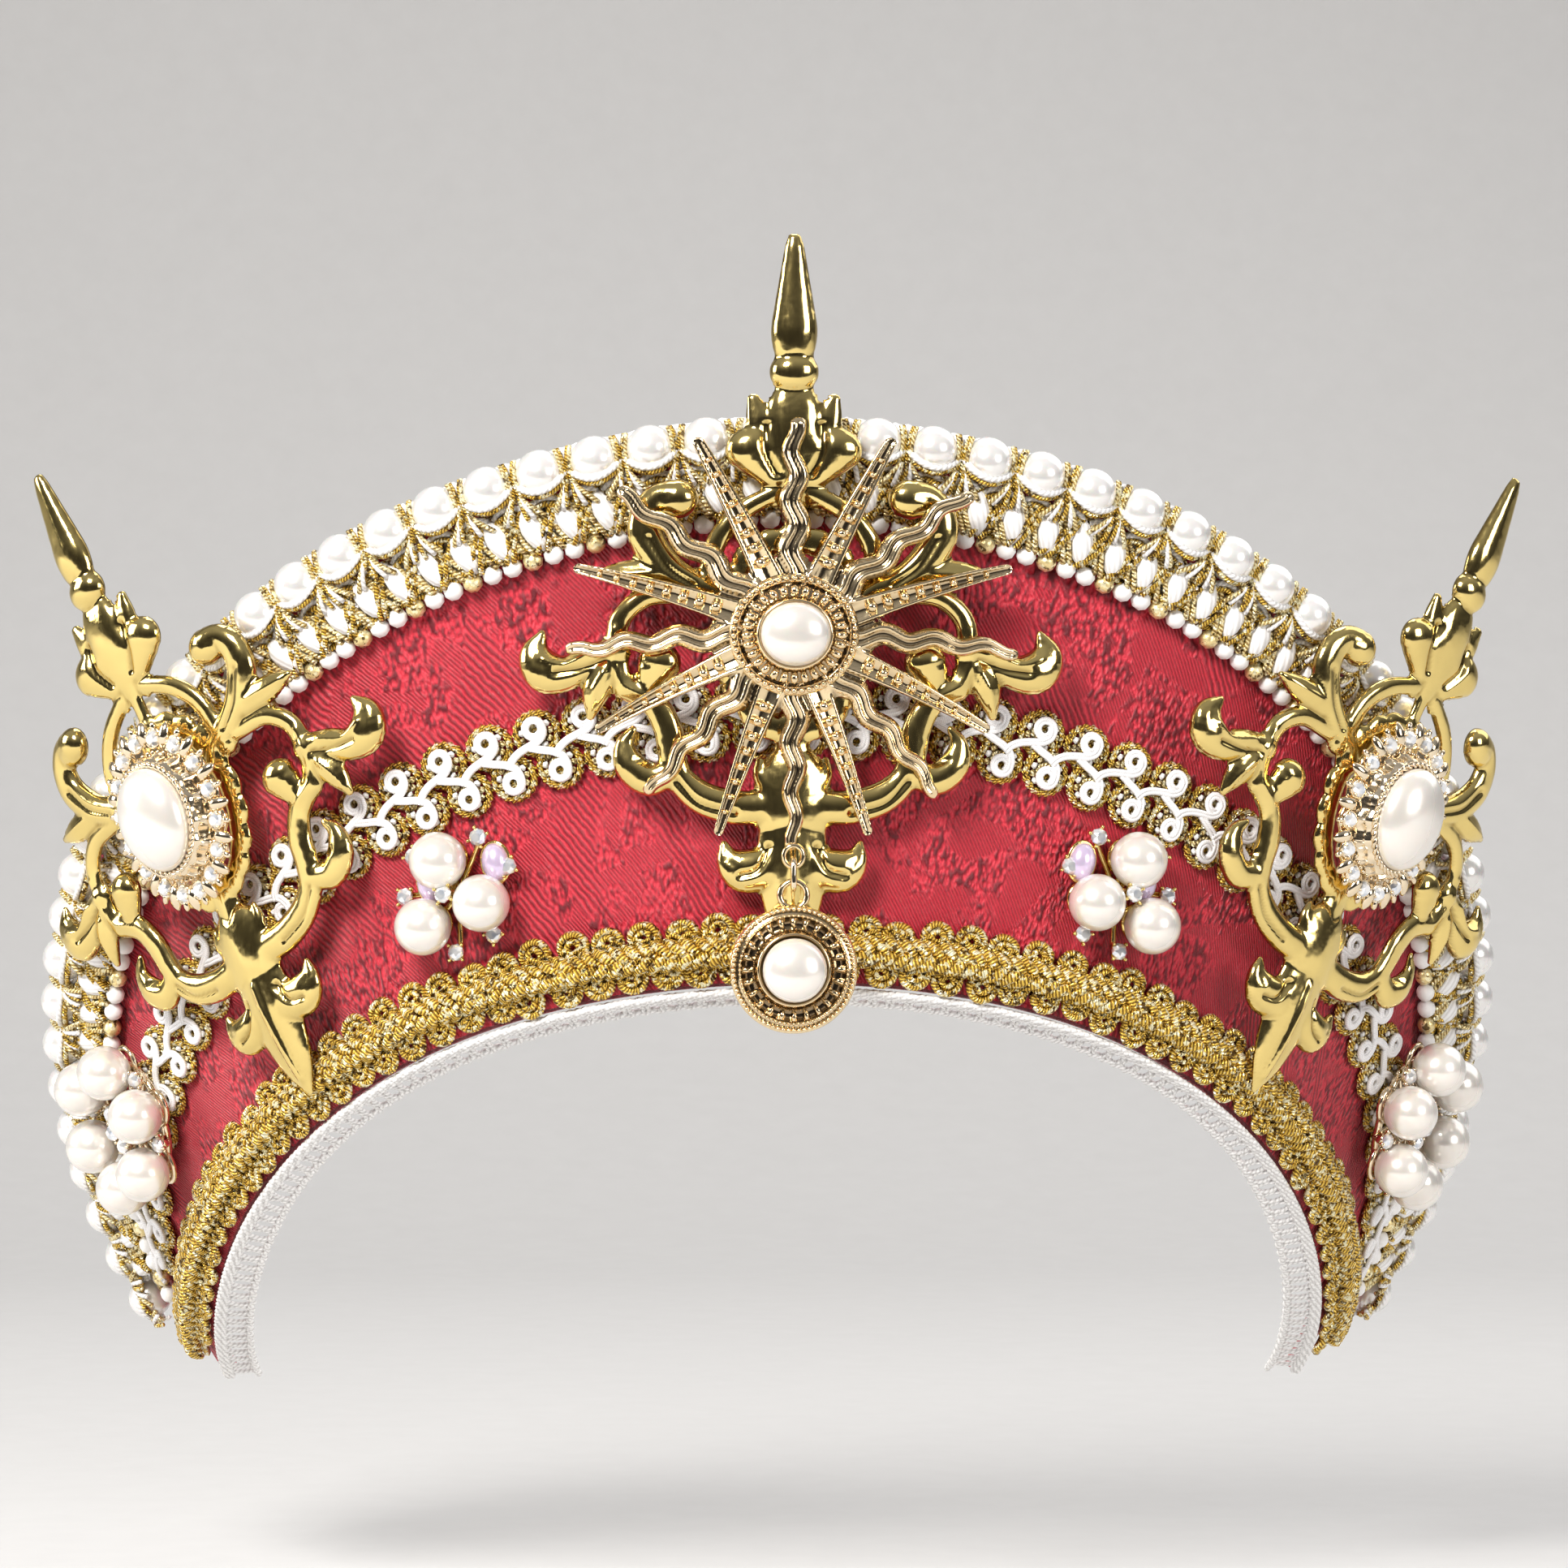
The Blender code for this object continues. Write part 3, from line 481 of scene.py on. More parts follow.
def metal_material(name, colour, dark, rough, recess_shade):
    """Polished metal with fine rubbing marks, random cloudy tone, and painted shade in the recesses that its
    mark gives.
    """
    paint = Paint(name, colour, rough, 1.0)
    place = paint.place()
    cloudy = paint.soft_step(paint.noise(place, 0.12, 4.0, 0.6), 0.35, 0.8)
    # Painted shade: the mark darkens the metal in its hollows; the clouds add random tone.
    recess = paint.new("ShaderNodeAttribute", attribute_name="mark").outputs["Fac"]
    shade_and_clouds = paint.add(paint.times(recess, recess_shade), paint.times(cloudy, 0.16))
    paint.drive("Base Color", paint.blend(shade_and_clouds, colour, dark))
    rub = paint.noise(paint.scaled(place, (1.0, 1.0, 0.35)), 1.9, 4.0, 0.7)
    span = {"Value": rub, "From Min": 0.25, "From Max": 0.8, "To Min": rough * 0.75, "To Max": rough * 1.7}
    paint.drive("Roughness", paint.new("ShaderNodeMapRange", span).outputs[0])
    paint.bump(paint.noise(place, 0.22, 2.0, 0.5), 0.0004, 0.35)
    return paint.finish


def pearl_material(name, colour, warm):
    """Nacre: a soft lustre under a gloss coat, with warmer clouds in it."""
    paint = Paint(name, colour, 0.3, 0.42, Coat_Weight=1.0, Coat_Roughness=0.04, Subsurface_Weight=0.1,
                  Subsurface_Scale=0.002, Specular_IOR_Level=0.6)
    rim = paint.new("ShaderNodeLayerWeight", {"Blend": 0.32}).outputs["Facing"]
    tone = paint.add(paint.times(paint.noise(paint.place(), 0.28, 3.0, 0.6), 0.4), 0.1)
    paint.drive("Base Color", paint.blend(tone, colour, warm))
    paint.drive("Roughness", paint.maths("MULTIPLY_ADD", rim, 0.12, 0.24))
    return paint.finish


def stone_material(name, colour, rough):
    """Foiled glass: bright facets with a faint play of colour."""
    paint = Paint(name, colour, rough, 0.6, Coat_Weight=1.0, Coat_Roughness=0.02)
    play = paint.soft_step(paint.noise(paint.place(), 1.1, 1.0, 0.5), 0.4, 0.75)
    paint.drive("Base Color", paint.blend(play, colour, (0.70, 0.76, 0.86)))
    return paint.finish


BROCADE = brocade_material()
LINING = lining_material()
WHITE = cord_material("white_cord", (0.93, 0.92, 0.91), (0.66, 0.64, 0.63), 0.8, 0.0, 1.6, depth=0.00008)
WHITE_PUFF = cord_material("white_floss", (0.94, 0.93, 0.92), (0.76, 0.74, 0.73), 0.65, 0.0, 40.0, 10.0,
                           depth=0.00006)
SOUTACHE = cord_material("white_soutache", (0.95, 0.94, 0.94), (0.82, 0.80, 0.80), 0.6, 0.0, 0.9, 3.0,
                         depth=0.00003)
GOLD = cord_material("gold_cord", (1.0, 0.66, 0.11), (0.22, 0.115, 0.012), 0.27, 0.6, 0.9, 2.0, 1.0, 0.0002)
PALE_GOLD = cord_material("pale_gold_cord", (1.0, 0.83, 0.42), (0.36, 0.22, 0.05), 0.3, 0.6, 1.2, 2.0, 0.9)
GILT = metal_material("gilt", (0.89, 0.69, 0.26), (0.30, 0.19, 0.05), 0.11, 0.7)
ROSE_GILT = metal_material("rose_gilt", (0.93, 0.74, 0.46), (0.11, 0.06, 0.025), 0.12, 0.75)
PALE_GILT = metal_material("pale_gilt", (0.95, 0.80, 0.58), (0.20, 0.12, 0.05), 0.11, 0.8)
PEARL = pearl_material("pearl", (0.90, 0.89, 0.88), (0.84, 0.80, 0.75))
CREAM_PEARL = pearl_material("cream_pearl", (0.91, 0.88, 0.84), (0.86, 0.77, 0.66))
STONE = stone_material("rhinestone", (1.0, 1.0, 1.0), 0.03)
OPAL = pearl_material("opal_stone", (0.74, 0.58, 0.82), (0.80, 0.74, 0.90))


# Textiles

def make_panel():
    """The brocade panel with its rolled edges, and its lining inside."""
    columns, rows, roll = 220, 32, 6
    angle = tip_to_tip(columns)
    half = PANEL_THICKNESS / 2.0
    edge = half * 0.9
    climb = [k / rows for k in range(rows + 1)]
    turns = [math.pi * k / roll for k in range(1, roll)]
    section = [(share, 0.0, 0.0) for share in climb]
    section += [(1.0, edge * math.sin(turn), half * math.cos(turn) - half) for turn in turns]
    section += [(share, 0.0, -PANEL_THICKNESS) for share in climb[::-1]]
    section += [(0.0, -edge * math.sin(turn), -half - half * math.cos(turn)) for turn in turns]
    share, extra, out = np.array(section).T
    height = edge + share * (panel_top(angle)[:, None] - 2.0 * edge) + extra
    puff = 0.12 * np.sin(angle[:, None] * 31.0 + 3.0 * np.sin(share * 7.0)) * np.sin(share * math.pi)
    grid = crown_points(angle[:, None], height, out + puff * (out == 0.0))
    along = (angle * 112.0)[:, None] * np.ones_like(height)
    shape = Shape()
    shape.sheet(grid, np.stack([along, height + 200.0 * (out < -0.5 * half)], -1), closed_columns=True)
    inner = (out < -half * 1.5) & (extra == 0.0)
    shape.slots[-1] = np.tile((inner & np.roll(inner, -1)).astype(int), columns - 1)
    for column, way in ((0, -1), (columns - 1, 1)):
        ends = column * len(share) + np.arange(len(share))
        far = ends[2 * rows + roll - np.arange(rows + 1)]
        strip = np.stack([ends[:rows], ends[1:rows + 1], far[1:], far[:-1]], -1)
        shape.patch(strip[:, ::way])
        for loop in (ends[rows:rows + roll + 1], np.append(ends[2 * rows + roll:], ends[0])):
            for a, b in zip(loop[1:-1], loop[2:]):
                shape.patch(np.array([[loop[0], a, b]])[:, ::way])
    shape.build("brocade_panel", [BROCADE, LINING], "brocade", ["crown_panel"])


def rail_tube(shape, rail, path, radius, sides=6, slot=0, squash=1.0):
    path = np.asarray(path, float)
    shape.tube(rail.at(path), radius, rail.off(path), sides, False, slot, squash)


def make_gold_braid():
    """Gimp braid: round picots on both edges of a plaited rope of metal thread."""
    rail = Rail(lambda angle: 0.5 * gold_braid_top(angle), 0.975)
    shape = Shape()
    pitch, plait_pitch = 4.95, 1.95
    turns = full_turn(14)
    feed = np.array([(-2.5, 1.1, 1.4), (-1.9, 2.0, 1.7), (-1.2, 2.9, 1.6), (0.0, 2.2, 1.8), (1.3, 2.9, 1.6),
                     (1.9, 2.0, 1.7), (2.5, 1.1, 1.4)])

    def width_at(along):
        return gold_braid_top(rail.look_up(rail.angle, along)) / GOLD_BRAID_HEIGHT

    count = int((rail.reach - 5.0) / pitch)
    for index in range(-count, count + 1):
        for edge, lag in ((-1.0, 0.5), (1.0, 0.0)):
            middle = (index + lag) * pitch
            width = edge * width_at(middle)
            grown = 1.0 + 0.06 * RANDOM.standard_normal()
            lean = 0.25 * RANDOM.standard_normal()
            for size, radius, level in ((1.75, 0.56, 1.15), (0.78, 0.5, 1.35)):
                path = np.stack([middle + lean + 1.08 * size * np.cos(turns),
                                 width * grown * (2.75 + size * np.sin(turns)),
                                 level + 0.15 * np.sin(3.0 * turns)], -1)
                shape.tube(rail.at(path), radius, rail.off(path), 6, True)
            rail_tube(shape, rail, feed * (1.0, width, 1.0) + (middle, 0.0, 0.0), 0.42)
    plait = np.linspace(0.0, 1.0, 6)
    for index in range(int((2.0 * rail.reach - 6.0) / plait_pitch)):
        start = -rail.reach + 2.0 + index * plait_pitch
        for edge in (-1.0, 1.0):
            across = edge * width_at(start) * (2.1 - 2.2 * plait)
            path = np.stack([start + 0.8 * (edge > 0.0) + 2.9 * plait, across,
                             1.8 + 1.3 * np.sin(plait * 2.2)], -1)
            size = (0.80 + 0.07 * RANDOM.standard_normal()) * np.sin(math.pi * (0.12 + 0.80 * plait)) + 0.14
            rail_tube(shape, rail, path, size)
    run = np.arange(-rail.reach + 0.5, rail.reach - 0.5, 1.2)
    for across in (-1.5, 0.0, 1.5):
        path = np.stack([run, across * width_at(run), np.full_like(run, 0.9)], -1)
        rail_tube(shape, rail, path, 0.85, squash=0.7)
    shape.build("gold_gimp_braid", [GOLD], "gold_thread", ["gold_braid"])


def spiral(centre, start, end, radii):
    """Points of a coil in the plane of a braid."""
    turn = np.linspace(start, end, 20)
    radius = np.linspace(*radii, 20)
    return np.stack([centre[0] + radius * np.cos(turn), centre[1] + radius * np.sin(turn)], -1)


def make_scroll_braid():
    """Woven gold and cream lobes in two staggered rows, with white cord scrolls laid over them."""
    rail = Rail(scroll_middle, 0.89)
    woven, cord = Shape(), Shape()
    pitch = 7.0
    count = int((rail.reach - 3.0) / pitch)
    fine = full_turn(36)
    turns = full_turn(14)

    def width_at(middle):
        angle = np.interp(middle, rail.run, rail.angle)
        room = float(trim_bottom(angle) - gold_braid_top(angle)) - 1.2
        return max(min(SCROLL_BRAID_HEIGHT, room), 1.0) / SCROLL_BRAID_HEIGHT

    def lobe(middle, edge):
        width = width_at(middle)

        def laid(turn, radius, level):
            across = width * (edge * 2.55 + 0.98 * radius * np.sin(turn))
            rows = np.stack(np.broadcast_arrays(middle + 1.02 * radius * np.cos(turn), across, level), -1)
            return rail.at(rows), rail.off(rows)

        for phase in (0.0, math.pi):
            wind = 9.0 * fine + phase
            points, out = laid(fine, 2.86 + 0.28 * np.sin(wind), 0.85 + 0.28 * np.cos(wind))
            woven.tube(points, 0.40, out, 4, True)
        for radius, wire, slot, level in ((1.25, 0.42, 1, 0.95), (0.6, 0.4, 0, 0.9)):
            points, out = laid(turns, radius, level)
            woven.tube(points, wire, out, 4, True, slot)
        for number in range(11):
            turn = TURN * (number + np.array([-0.42, -0.15, 0.15, 0.42])) / 11.0
            points, out = laid(turn, 1.98 + 0.12 * np.array([-1.0, 0.5, 0.5, -1.0]), 1.2)
            woven.tube(points, np.array([0.14, 0.42, 0.42, 0.14]), out, 5, slot=2 if number % 2 else 1)

    def lay_cord(path, middle, level):
        """Two ribs side by side, as in a soutache braid."""
        way = unit(np.gradient(path, axis=0))
        for rib in (-0.24, 0.24):
            flat = path + rib * np.stack([-way[:, 1], way[:, 0]], -1)
            laid = np.stack([middle + flat[:, 0], width_at(middle) * flat[:, 1], level], -1)
            rail_tube(cord, rail, laid, 0.34, 5, squash=1.2)

    sweep = smooth_path([(1.25, 3.2), (1.05, 2.2), (0.1, 1.4), (-1.4, 1.0), (-3.0, 0.5), (-4.2, -0.3),
                         (-4.8, -1.3)], 4)
    upper = np.vstack([spiral((0.0, 3.2), 1.125 * TURN, 0.0, (1.0, 1.25))[:-1], sweep])
    lead = smooth_path([(-1.2, 0.8), (0.3, 0.1), (1.8, -0.5), (3.0, -1.4), (3.4, -2.5)], 4)
    lower = np.vstack([lead, spiral((2.15, -3.2), 0.0, -1.125 * TURN, (1.25, 1.0))])
    tuck = np.clip(np.arange(len(upper)) / 7.0, 0.0, 1.0)
    last = np.clip((len(lower) - 1 - np.arange(len(lower))) / 7.0, 0.0, 1.0)
    for index in range(-count, count + 1):
        middle = index * pitch
        lobe(middle, 1.0)
        lag = 2.1 if index < count else 2.0
        lobe(middle + lag, -1.0)
        lay_cord(upper, middle, 1.65 + 0.4 * tuck)
        lay_cord(lower, middle, 1.55 + 0.4 * last)
    woven.build("scroll_braid_lobes", [GOLD, PALE_GOLD, WHITE], "gold_thread", ["scroll_braid"])
    cord.build("scroll_braid_cord", [SOUTACHE], "white_thread")


def make_trim():
    """Woven trim: slanted white floss leaves between crossing cords, with a knotted lower edge."""
    rail = Rail(lambda angle: trim_bottom(angle) + 3.75, 0.93)
    shape = Shape()
    pitch, knot_pitch = 5.1, 3.1
    white, pale, puff, gold = range(4)
    count = int((rail.reach - 3.0) / pitch)
    leaf = np.linspace(-1.0, 1.0, 7)
    dome = 1.0 - leaf ** 2
    twirl = np.linspace(0.0, TURN, 12)
    for index in range(-count, count + 1):
        middle = index * pitch
        path = np.stack([middle - 0.85 * leaf, 0.3 + 3.2 * leaf, 2.7 + 0.7 * dome], -1)
        rail_tube(shape, rail, path, 1.65 * np.sqrt(1.0 - 0.96 * leaf ** 2), 9, puff, 0.7)
        start = middle + pitch / 2.0
        for slant, slot in ((-1.0, pale), (1.0, gold)):
            for lag in (-0.7, 0.3):
                swing = 0.25 * RANDOM.standard_normal()
                cross = np.stack([start + (slant * 1.9 + swing) * leaf + lag, 3.6 * leaf + 0.3,
                                  2.8 + 0.9 * dome + 0.15 * slant], -1)
                rail_tube(shape, rail, cross, 0.42, slot=slot)
        for height, slot, lift in ((3.5, white, 3.1), (-2.4, gold, 2.5), (2.6, gold, 3.2)):
            bow = np.stack([start + 2.2 * leaf, height + 0.9 * dome - 0.4, lift + 0.5 * dome], -1)
            rail_tube(shape, rail, bow, 0.42, slot=slot)
        knot = np.stack([start + 0.7 * np.cos(twirl), 0.3 + 0.8 * np.sin(twirl),
                         3.5 + 0.3 * np.sin(2.0 * twirl)], -1)
        rail_tube(shape, rail, knot, 0.36, 5, white if index % 2 else pale)
    run = np.arange(-rail.reach + 0.5, rail.reach - 0.5, 1.2)
    for across, level, radius, slot in ((3.5, 1.7, 0.6, pale), (2.1, 1.6, 0.9, white), (0.4, 1.5, 1.2, pale),
                                        (-1.3, 1.5, 1.0, white), (-2.6, 2.0, 0.6, gold)):
        sway = 0.25 * np.sin(run * TURN / 2.7 + across)
        path = np.stack([run, across + sway, level + sway * 0.5], -1)
        rail_tube(shape, rail, path, radius, slot=slot, squash=0.8)
    count = int(rail.reach / knot_pitch)
    for index in range(-count, count + 1):
        spot = np.array([(index * knot_pitch, -3.8, 1.8)])
        out = rail.off(spot)[0]
        across = rail.look_up(rail.across, spot[:, 0])[0]
        axes = np.stack([np.cross(across, out), across, out])
        shape.ball(rail.at(spot)[0], (1.48, 1.42, 1.35), axes, 9, 6, puff if index % 3 else pale)
    shape.build("woven_trim", [WHITE, PALE_GOLD, WHITE_PUFF, GOLD], "white_thread", ["trim_band"])


def pearl_places():
    """Centres of the edging pearls with the directions along the line and off the panel."""
    angle = TIP_ANGLE * np.sin(np.arange(1601) / 1600.0 * math.pi / 2.0)
    run = distance_along(crown_points(angle, pearl_height(angle), PEARL_OUT))
    turn = np.interp((np.arange(PEARLS_PER_SIDE) + 0.5) * PEARL_PITCH, run, angle)
    turn = np.concatenate([-turn[::-1], turn])
    spots = crown_points(turn, pearl_height(turn), PEARL_OUT)
    ahead = crown_points(turn + 0.002, pearl_height(turn + 0.002), PEARL_OUT) - spots
    off = unit(crown_points(turn, pearl_height(turn), PEARL_OUT + 1.0) - spots)
    return spots, unit(ahead), off


def make_pearl_edge():
    """The edging pearls, and the cords that hold each one from both sides and from below."""
    spots, along, off = pearl_places()
    pearls, cords = Shape(), Shape()
    bow = np.linspace(-1.0, 1.0, 7)
    for spot, ahead, out in zip(spots, along, off):
        rise = np.cross(out, ahead)
        pearls.ball(spot, PEARL_RADIUS, np.stack([rise, out, ahead]), 22, 14)

        def laid(forward, up, lift):
            return spot + np.outer(forward, ahead) + np.outer(up, rise) + np.outer(lift, out)

        for side in (-1.0, 1.0):
            for reach, level, slot in ((3.3, 0.4, 0), (3.7, 0.1, 1), (3.9, -0.9, 2)):
                path = laid(side * reach * np.cos(bow * 0.5), 3.4 * np.sin(bow) - 0.3,
                            1.3 * np.cos(bow) - 0.6 + level)
                cords.tube(path, 0.32, out, slot=slot)
            for foot, slot in ((0.9, 0), (2.2, 2), (3.3, 1)):
                foot = foot + 0.4 * RANDOM.standard_normal()
                path = laid(side * (3.4 + (foot - 3.4) * (0.5 + 0.5 * bow)), -2.6 - 1.6 * (1.0 + bow),
                            1.9 - 0.5 * bow ** 2 - 0.3 * (1.0 + bow))
                cords.tube(path, 0.36, out, slot=slot)
        for low, front, slot in ((2.7, 2.4, 2), (3.3, 1.8, 1)):
            path = laid(3.7 * bow, -low + 1.9 * bow ** 2, front - 1.8 * bow ** 2)
            cords.tube(path, 0.42, out, slot=slot)
    for first, second, ahead in zip(spots, spots[1:], along):
        pearls.tube([first, (first + second) / 2.0, second], 0.45, np.cross(ahead, UP))
    pearls.build("edging_pearls", [PEARL], "pearl", ["pearl_string"])
    cords.build("pearl_cords", [PALE_GOLD, GOLD, WHITE], "gold_thread")


def make_piping():
    """A white twisted cord along the panel's top edge."""
    angle = 0.99 * tip_to_tip(420)
    edge = crown_points(angle, panel_top(angle), -0.4 * PANEL_THICKNESS)
    out = unit(crown_points(angle, panel_top(angle), 0.0) - edge)
    outward = unit(np.cross(out, unit(np.gradient(edge, axis=0))))
    shape = Shape()
    for phase in (0.0, math.pi):
        turn = (TURN * distance_along(edge) / 4.2 + phase)[:, None]
        wound = edge + (1.1 + 0.32 * np.sin(turn)) * outward + 0.32 * np.cos(turn) * out
        shape.tube(wound, 0.62, out, 7)
    shape.build("edge_piping", [WHITE], "white_thread", ["top_piping"])


def make_lace():
    """Crocheted edging under the rim: chained cords along both sides of a row of eyelets."""
    shape = Shape()
    angle = 0.985 * TIP_ANGLE * np.linspace(-1.0, 1.0, 640)

    def place(turn, inward, drop):
        radial = rim_height(turn) * math.tan(FLARE) - inward
        return base_to_world(turn, radial, rim_height(turn) - drop)

    def down_at(turn):
        return unit(place(turn, 0.0, 1.0) - place(turn, 0.0, 0.0))

    run = distance_along(place(angle, 0.0, 0.0))
    width = 3.6 + 1.9 * np.sin(angle) ** 2
    wave = TURN * run / 2.2
    for inset, radius in ((0.35, 0.46), (1.0, 0.44)):
        for phase in (0.0, math.pi):
            chain = place(angle, inset + 0.2 * np.sin(wave + phase), 0.75 + 0.14 * np.cos(wave + phase))
            shape.tube(chain, radius, down_at(angle))
    shape.tube(place(angle, width - 0.4 + 0.25 * np.sin(wave), 0.8), 0.46, down_at(angle))
    pitch = 2.7
    turns = full_turn(14)
    for number in range(int((run[-1] - 2.0) / pitch)):
        middle = 1.5 + (number + 0.5) * pitch
        spread = np.interp(middle + 1.1 * np.cos(turns), run, angle)
        reach = 0.5 * (float(np.interp(middle, run, width)) - 1.5)
        eyelet = place(spread, 1.15 + reach * (1.0 + np.sin(turns)), 0.8)
        shape.tube(eyelet, 0.36, down_at(spread), 5, True)
    shape.build("crochet_edging", [WHITE], "white_thread", ["lace_edging"])


# Metalwork drawn as relief on a fine grid

def smooth_max(first, second, width):
    painted_gap_shade = np.maximum(width - np.abs(first - second), 0.0) / width
    return np.maximum(first, second) + painted_gap_shade * painted_gap_shade * width * 0.25


class Relief:
    """A metal form on a grid: an edge field that is positive inside it, and the height of its face."""

    def __init__(self, low, high, step):
        self.step = step
        xs = np.arange(low[0], high[0] + step, step)
        ys = np.arange(low[1], high[1] + step, step)
        self.x, self.y = np.meshgrid(xs, ys, indexing="ij")
        self.edge = np.full(self.x.shape, -9.0)
        self.top = np.zeros(self.x.shape)

    def window(self, low, high):
        corner = (self.x[0, 0], self.y[0, 0])
        first = [max(int((value - start) / self.step), 0) for value, start in zip(low, corner)]
        last = [max(int((value - start) / self.step) + 2, 0) for value, start in zip(high, corner)]
        return slice(first[0], last[0]), slice(first[1], last[1])

    def measure(self, rows):
        """Edge distance and distance share from the middle line of a stroke of (x, y, half width) rows."""
        rows = np.asarray(rows, float)
        edge = np.full(self.x.shape, -9.0)
        share = np.full(self.x.shape, 9.0)
        width = np.zeros(self.x.shape)
        for (ax, ay, aw), (bx, by, bw) in zip(rows, rows[1:]):
            reach = max(aw, bw) + 1.6
            part = self.window((min(ax, bx) - reach, min(ay, by) - reach),
                               (max(ax, bx) + reach, max(ay, by) + reach))
            x, y = self.x[part], self.y[part]
            if not x.size:
                continue
            span = max((bx - ax) ** 2 + (by - ay) ** 2, 1e-9)
            t = np.clip(((x - ax) * (bx - ax) + (y - ay) * (by - ay)) / span, 0.0, 1.0)
            away = np.hypot(x - ax - t * (bx - ax), y - ay - t * (by - ay))
            wide = aw + (bw - aw) * t
            value = wide - away
            closer = value > edge[part]
            edge[part] = np.where(closer, value, edge[part])
            share[part] = np.where(closer, away / np.maximum(wide, 0.05), share[part])
            width[part] = np.where(closer, wide, width[part])
        return edge, share, width

    def stroke(self, rows, tall=0.55, base=0.45, power=0.5, fillet=0.7, ridge=0.0):
        """Adds a domed stroke that rises by tall for each unit of half width. ridge sharpens its middle."""
        edge, share, width = self.measure(rows)
        inside = np.clip(1.0 - share, 0.0, 1.0)
        dome = np.clip(1.0 - np.minimum(share, 1.0) ** 2, 0.0, 1.0) ** power
        rise = base + tall * width * ((1.0 - ridge) * dome + ridge * inside)
        rise = np.where(edge > -0.6, rise, 0.0)
        self.edge = smooth_max(self.edge, edge, fillet)
        self.top = smooth_max(self.top, np.where(edge > 0.0, rise, np.minimum(rise, base)), 0.4)

    def groove(self, rows, depth, spread):
        """Presses a line into the face, or raises one when depth is below zero."""
        edge = self.measure([(x, y, 0.01) for x, y in np.asarray(rows)[:, :2]])[0]
        away = 0.01 - edge
        self.top = self.top - depth * np.exp(-(away / spread) ** 2) * (self.edge > 0.0)

    def solid(self, shape, thickness=0.35):
        """Adds the form to a shape as sheet metal: its face, its back and its cut edge."""
        inside = self.edge > 0.0
        touched = inside[:-1, :-1] | inside[1:, :-1] | inside[:-1, 1:] | inside[1:, 1:]
        gx, gy = np.gradient(self.edge, self.step)
        steep = np.maximum(gx * gx + gy * gy, 0.2)
        shift = np.where(inside, 0.0, np.clip(-self.edge / steep, -1.2 * self.step, 1.2 * self.step))
        x, y = self.x + gx * shift, self.y + gy * shift
        used = np.zeros(self.x.shape, bool)
        for a, b in ((0, 0), (0, 1), (1, 0), (1, 1)):
            used[a:used.shape[0] - 1 + a, b:used.shape[1] - 1 + b] |= touched
        index = np.cumsum(used.ravel()).reshape(used.shape) - 1
        i, j = np.nonzero(touched)
        quads = np.stack([index[i, j], index[i + 1, j], index[i + 1, j + 1], index[i, j + 1]], -1)
        top = np.maximum(self.top, thickness + 0.05)
        # How far each point sinks below its smoothed neighbours becomes its mark: painted shade in the
        # metal's hollows.
        soft = top.copy()
        for _ in range(6):
            soft[1:-1, 1:-1] = 0.25 * (soft[:-2, 1:-1] + soft[2:, 1:-1] + soft[1:-1, :-2] + soft[1:-1, 2:])
        recess = np.clip((soft - top) * 4.0, 0.0, 1.0)
        face = np.stack([x[used], y[used], top[used]], -1)
        back = face - (0.0, 0.0, thickness)
        count = len(face)
        sides = np.concatenate([quads[:, [k, (k + 1) % 4]] for k in range(4)])
        keys = np.sort(sides, axis=1)
        number = keys[:, 0] * (count + 1) + keys[:, 1]
        _, first, times = np.unique(number, return_index=True, return_counts=True)
        rim = sides[first[times == 1]]
        wall = np.stack([rim[:, 0], rim[:, 0] + count, rim[:, 1] + count, rim[:, 1]], -1)
        faces = np.concatenate([quads, quads[:, ::-1] + count, wall])
        shape.add(np.vstack([face, back]), faces, mark=np.concatenate([recess[used]] * 2))


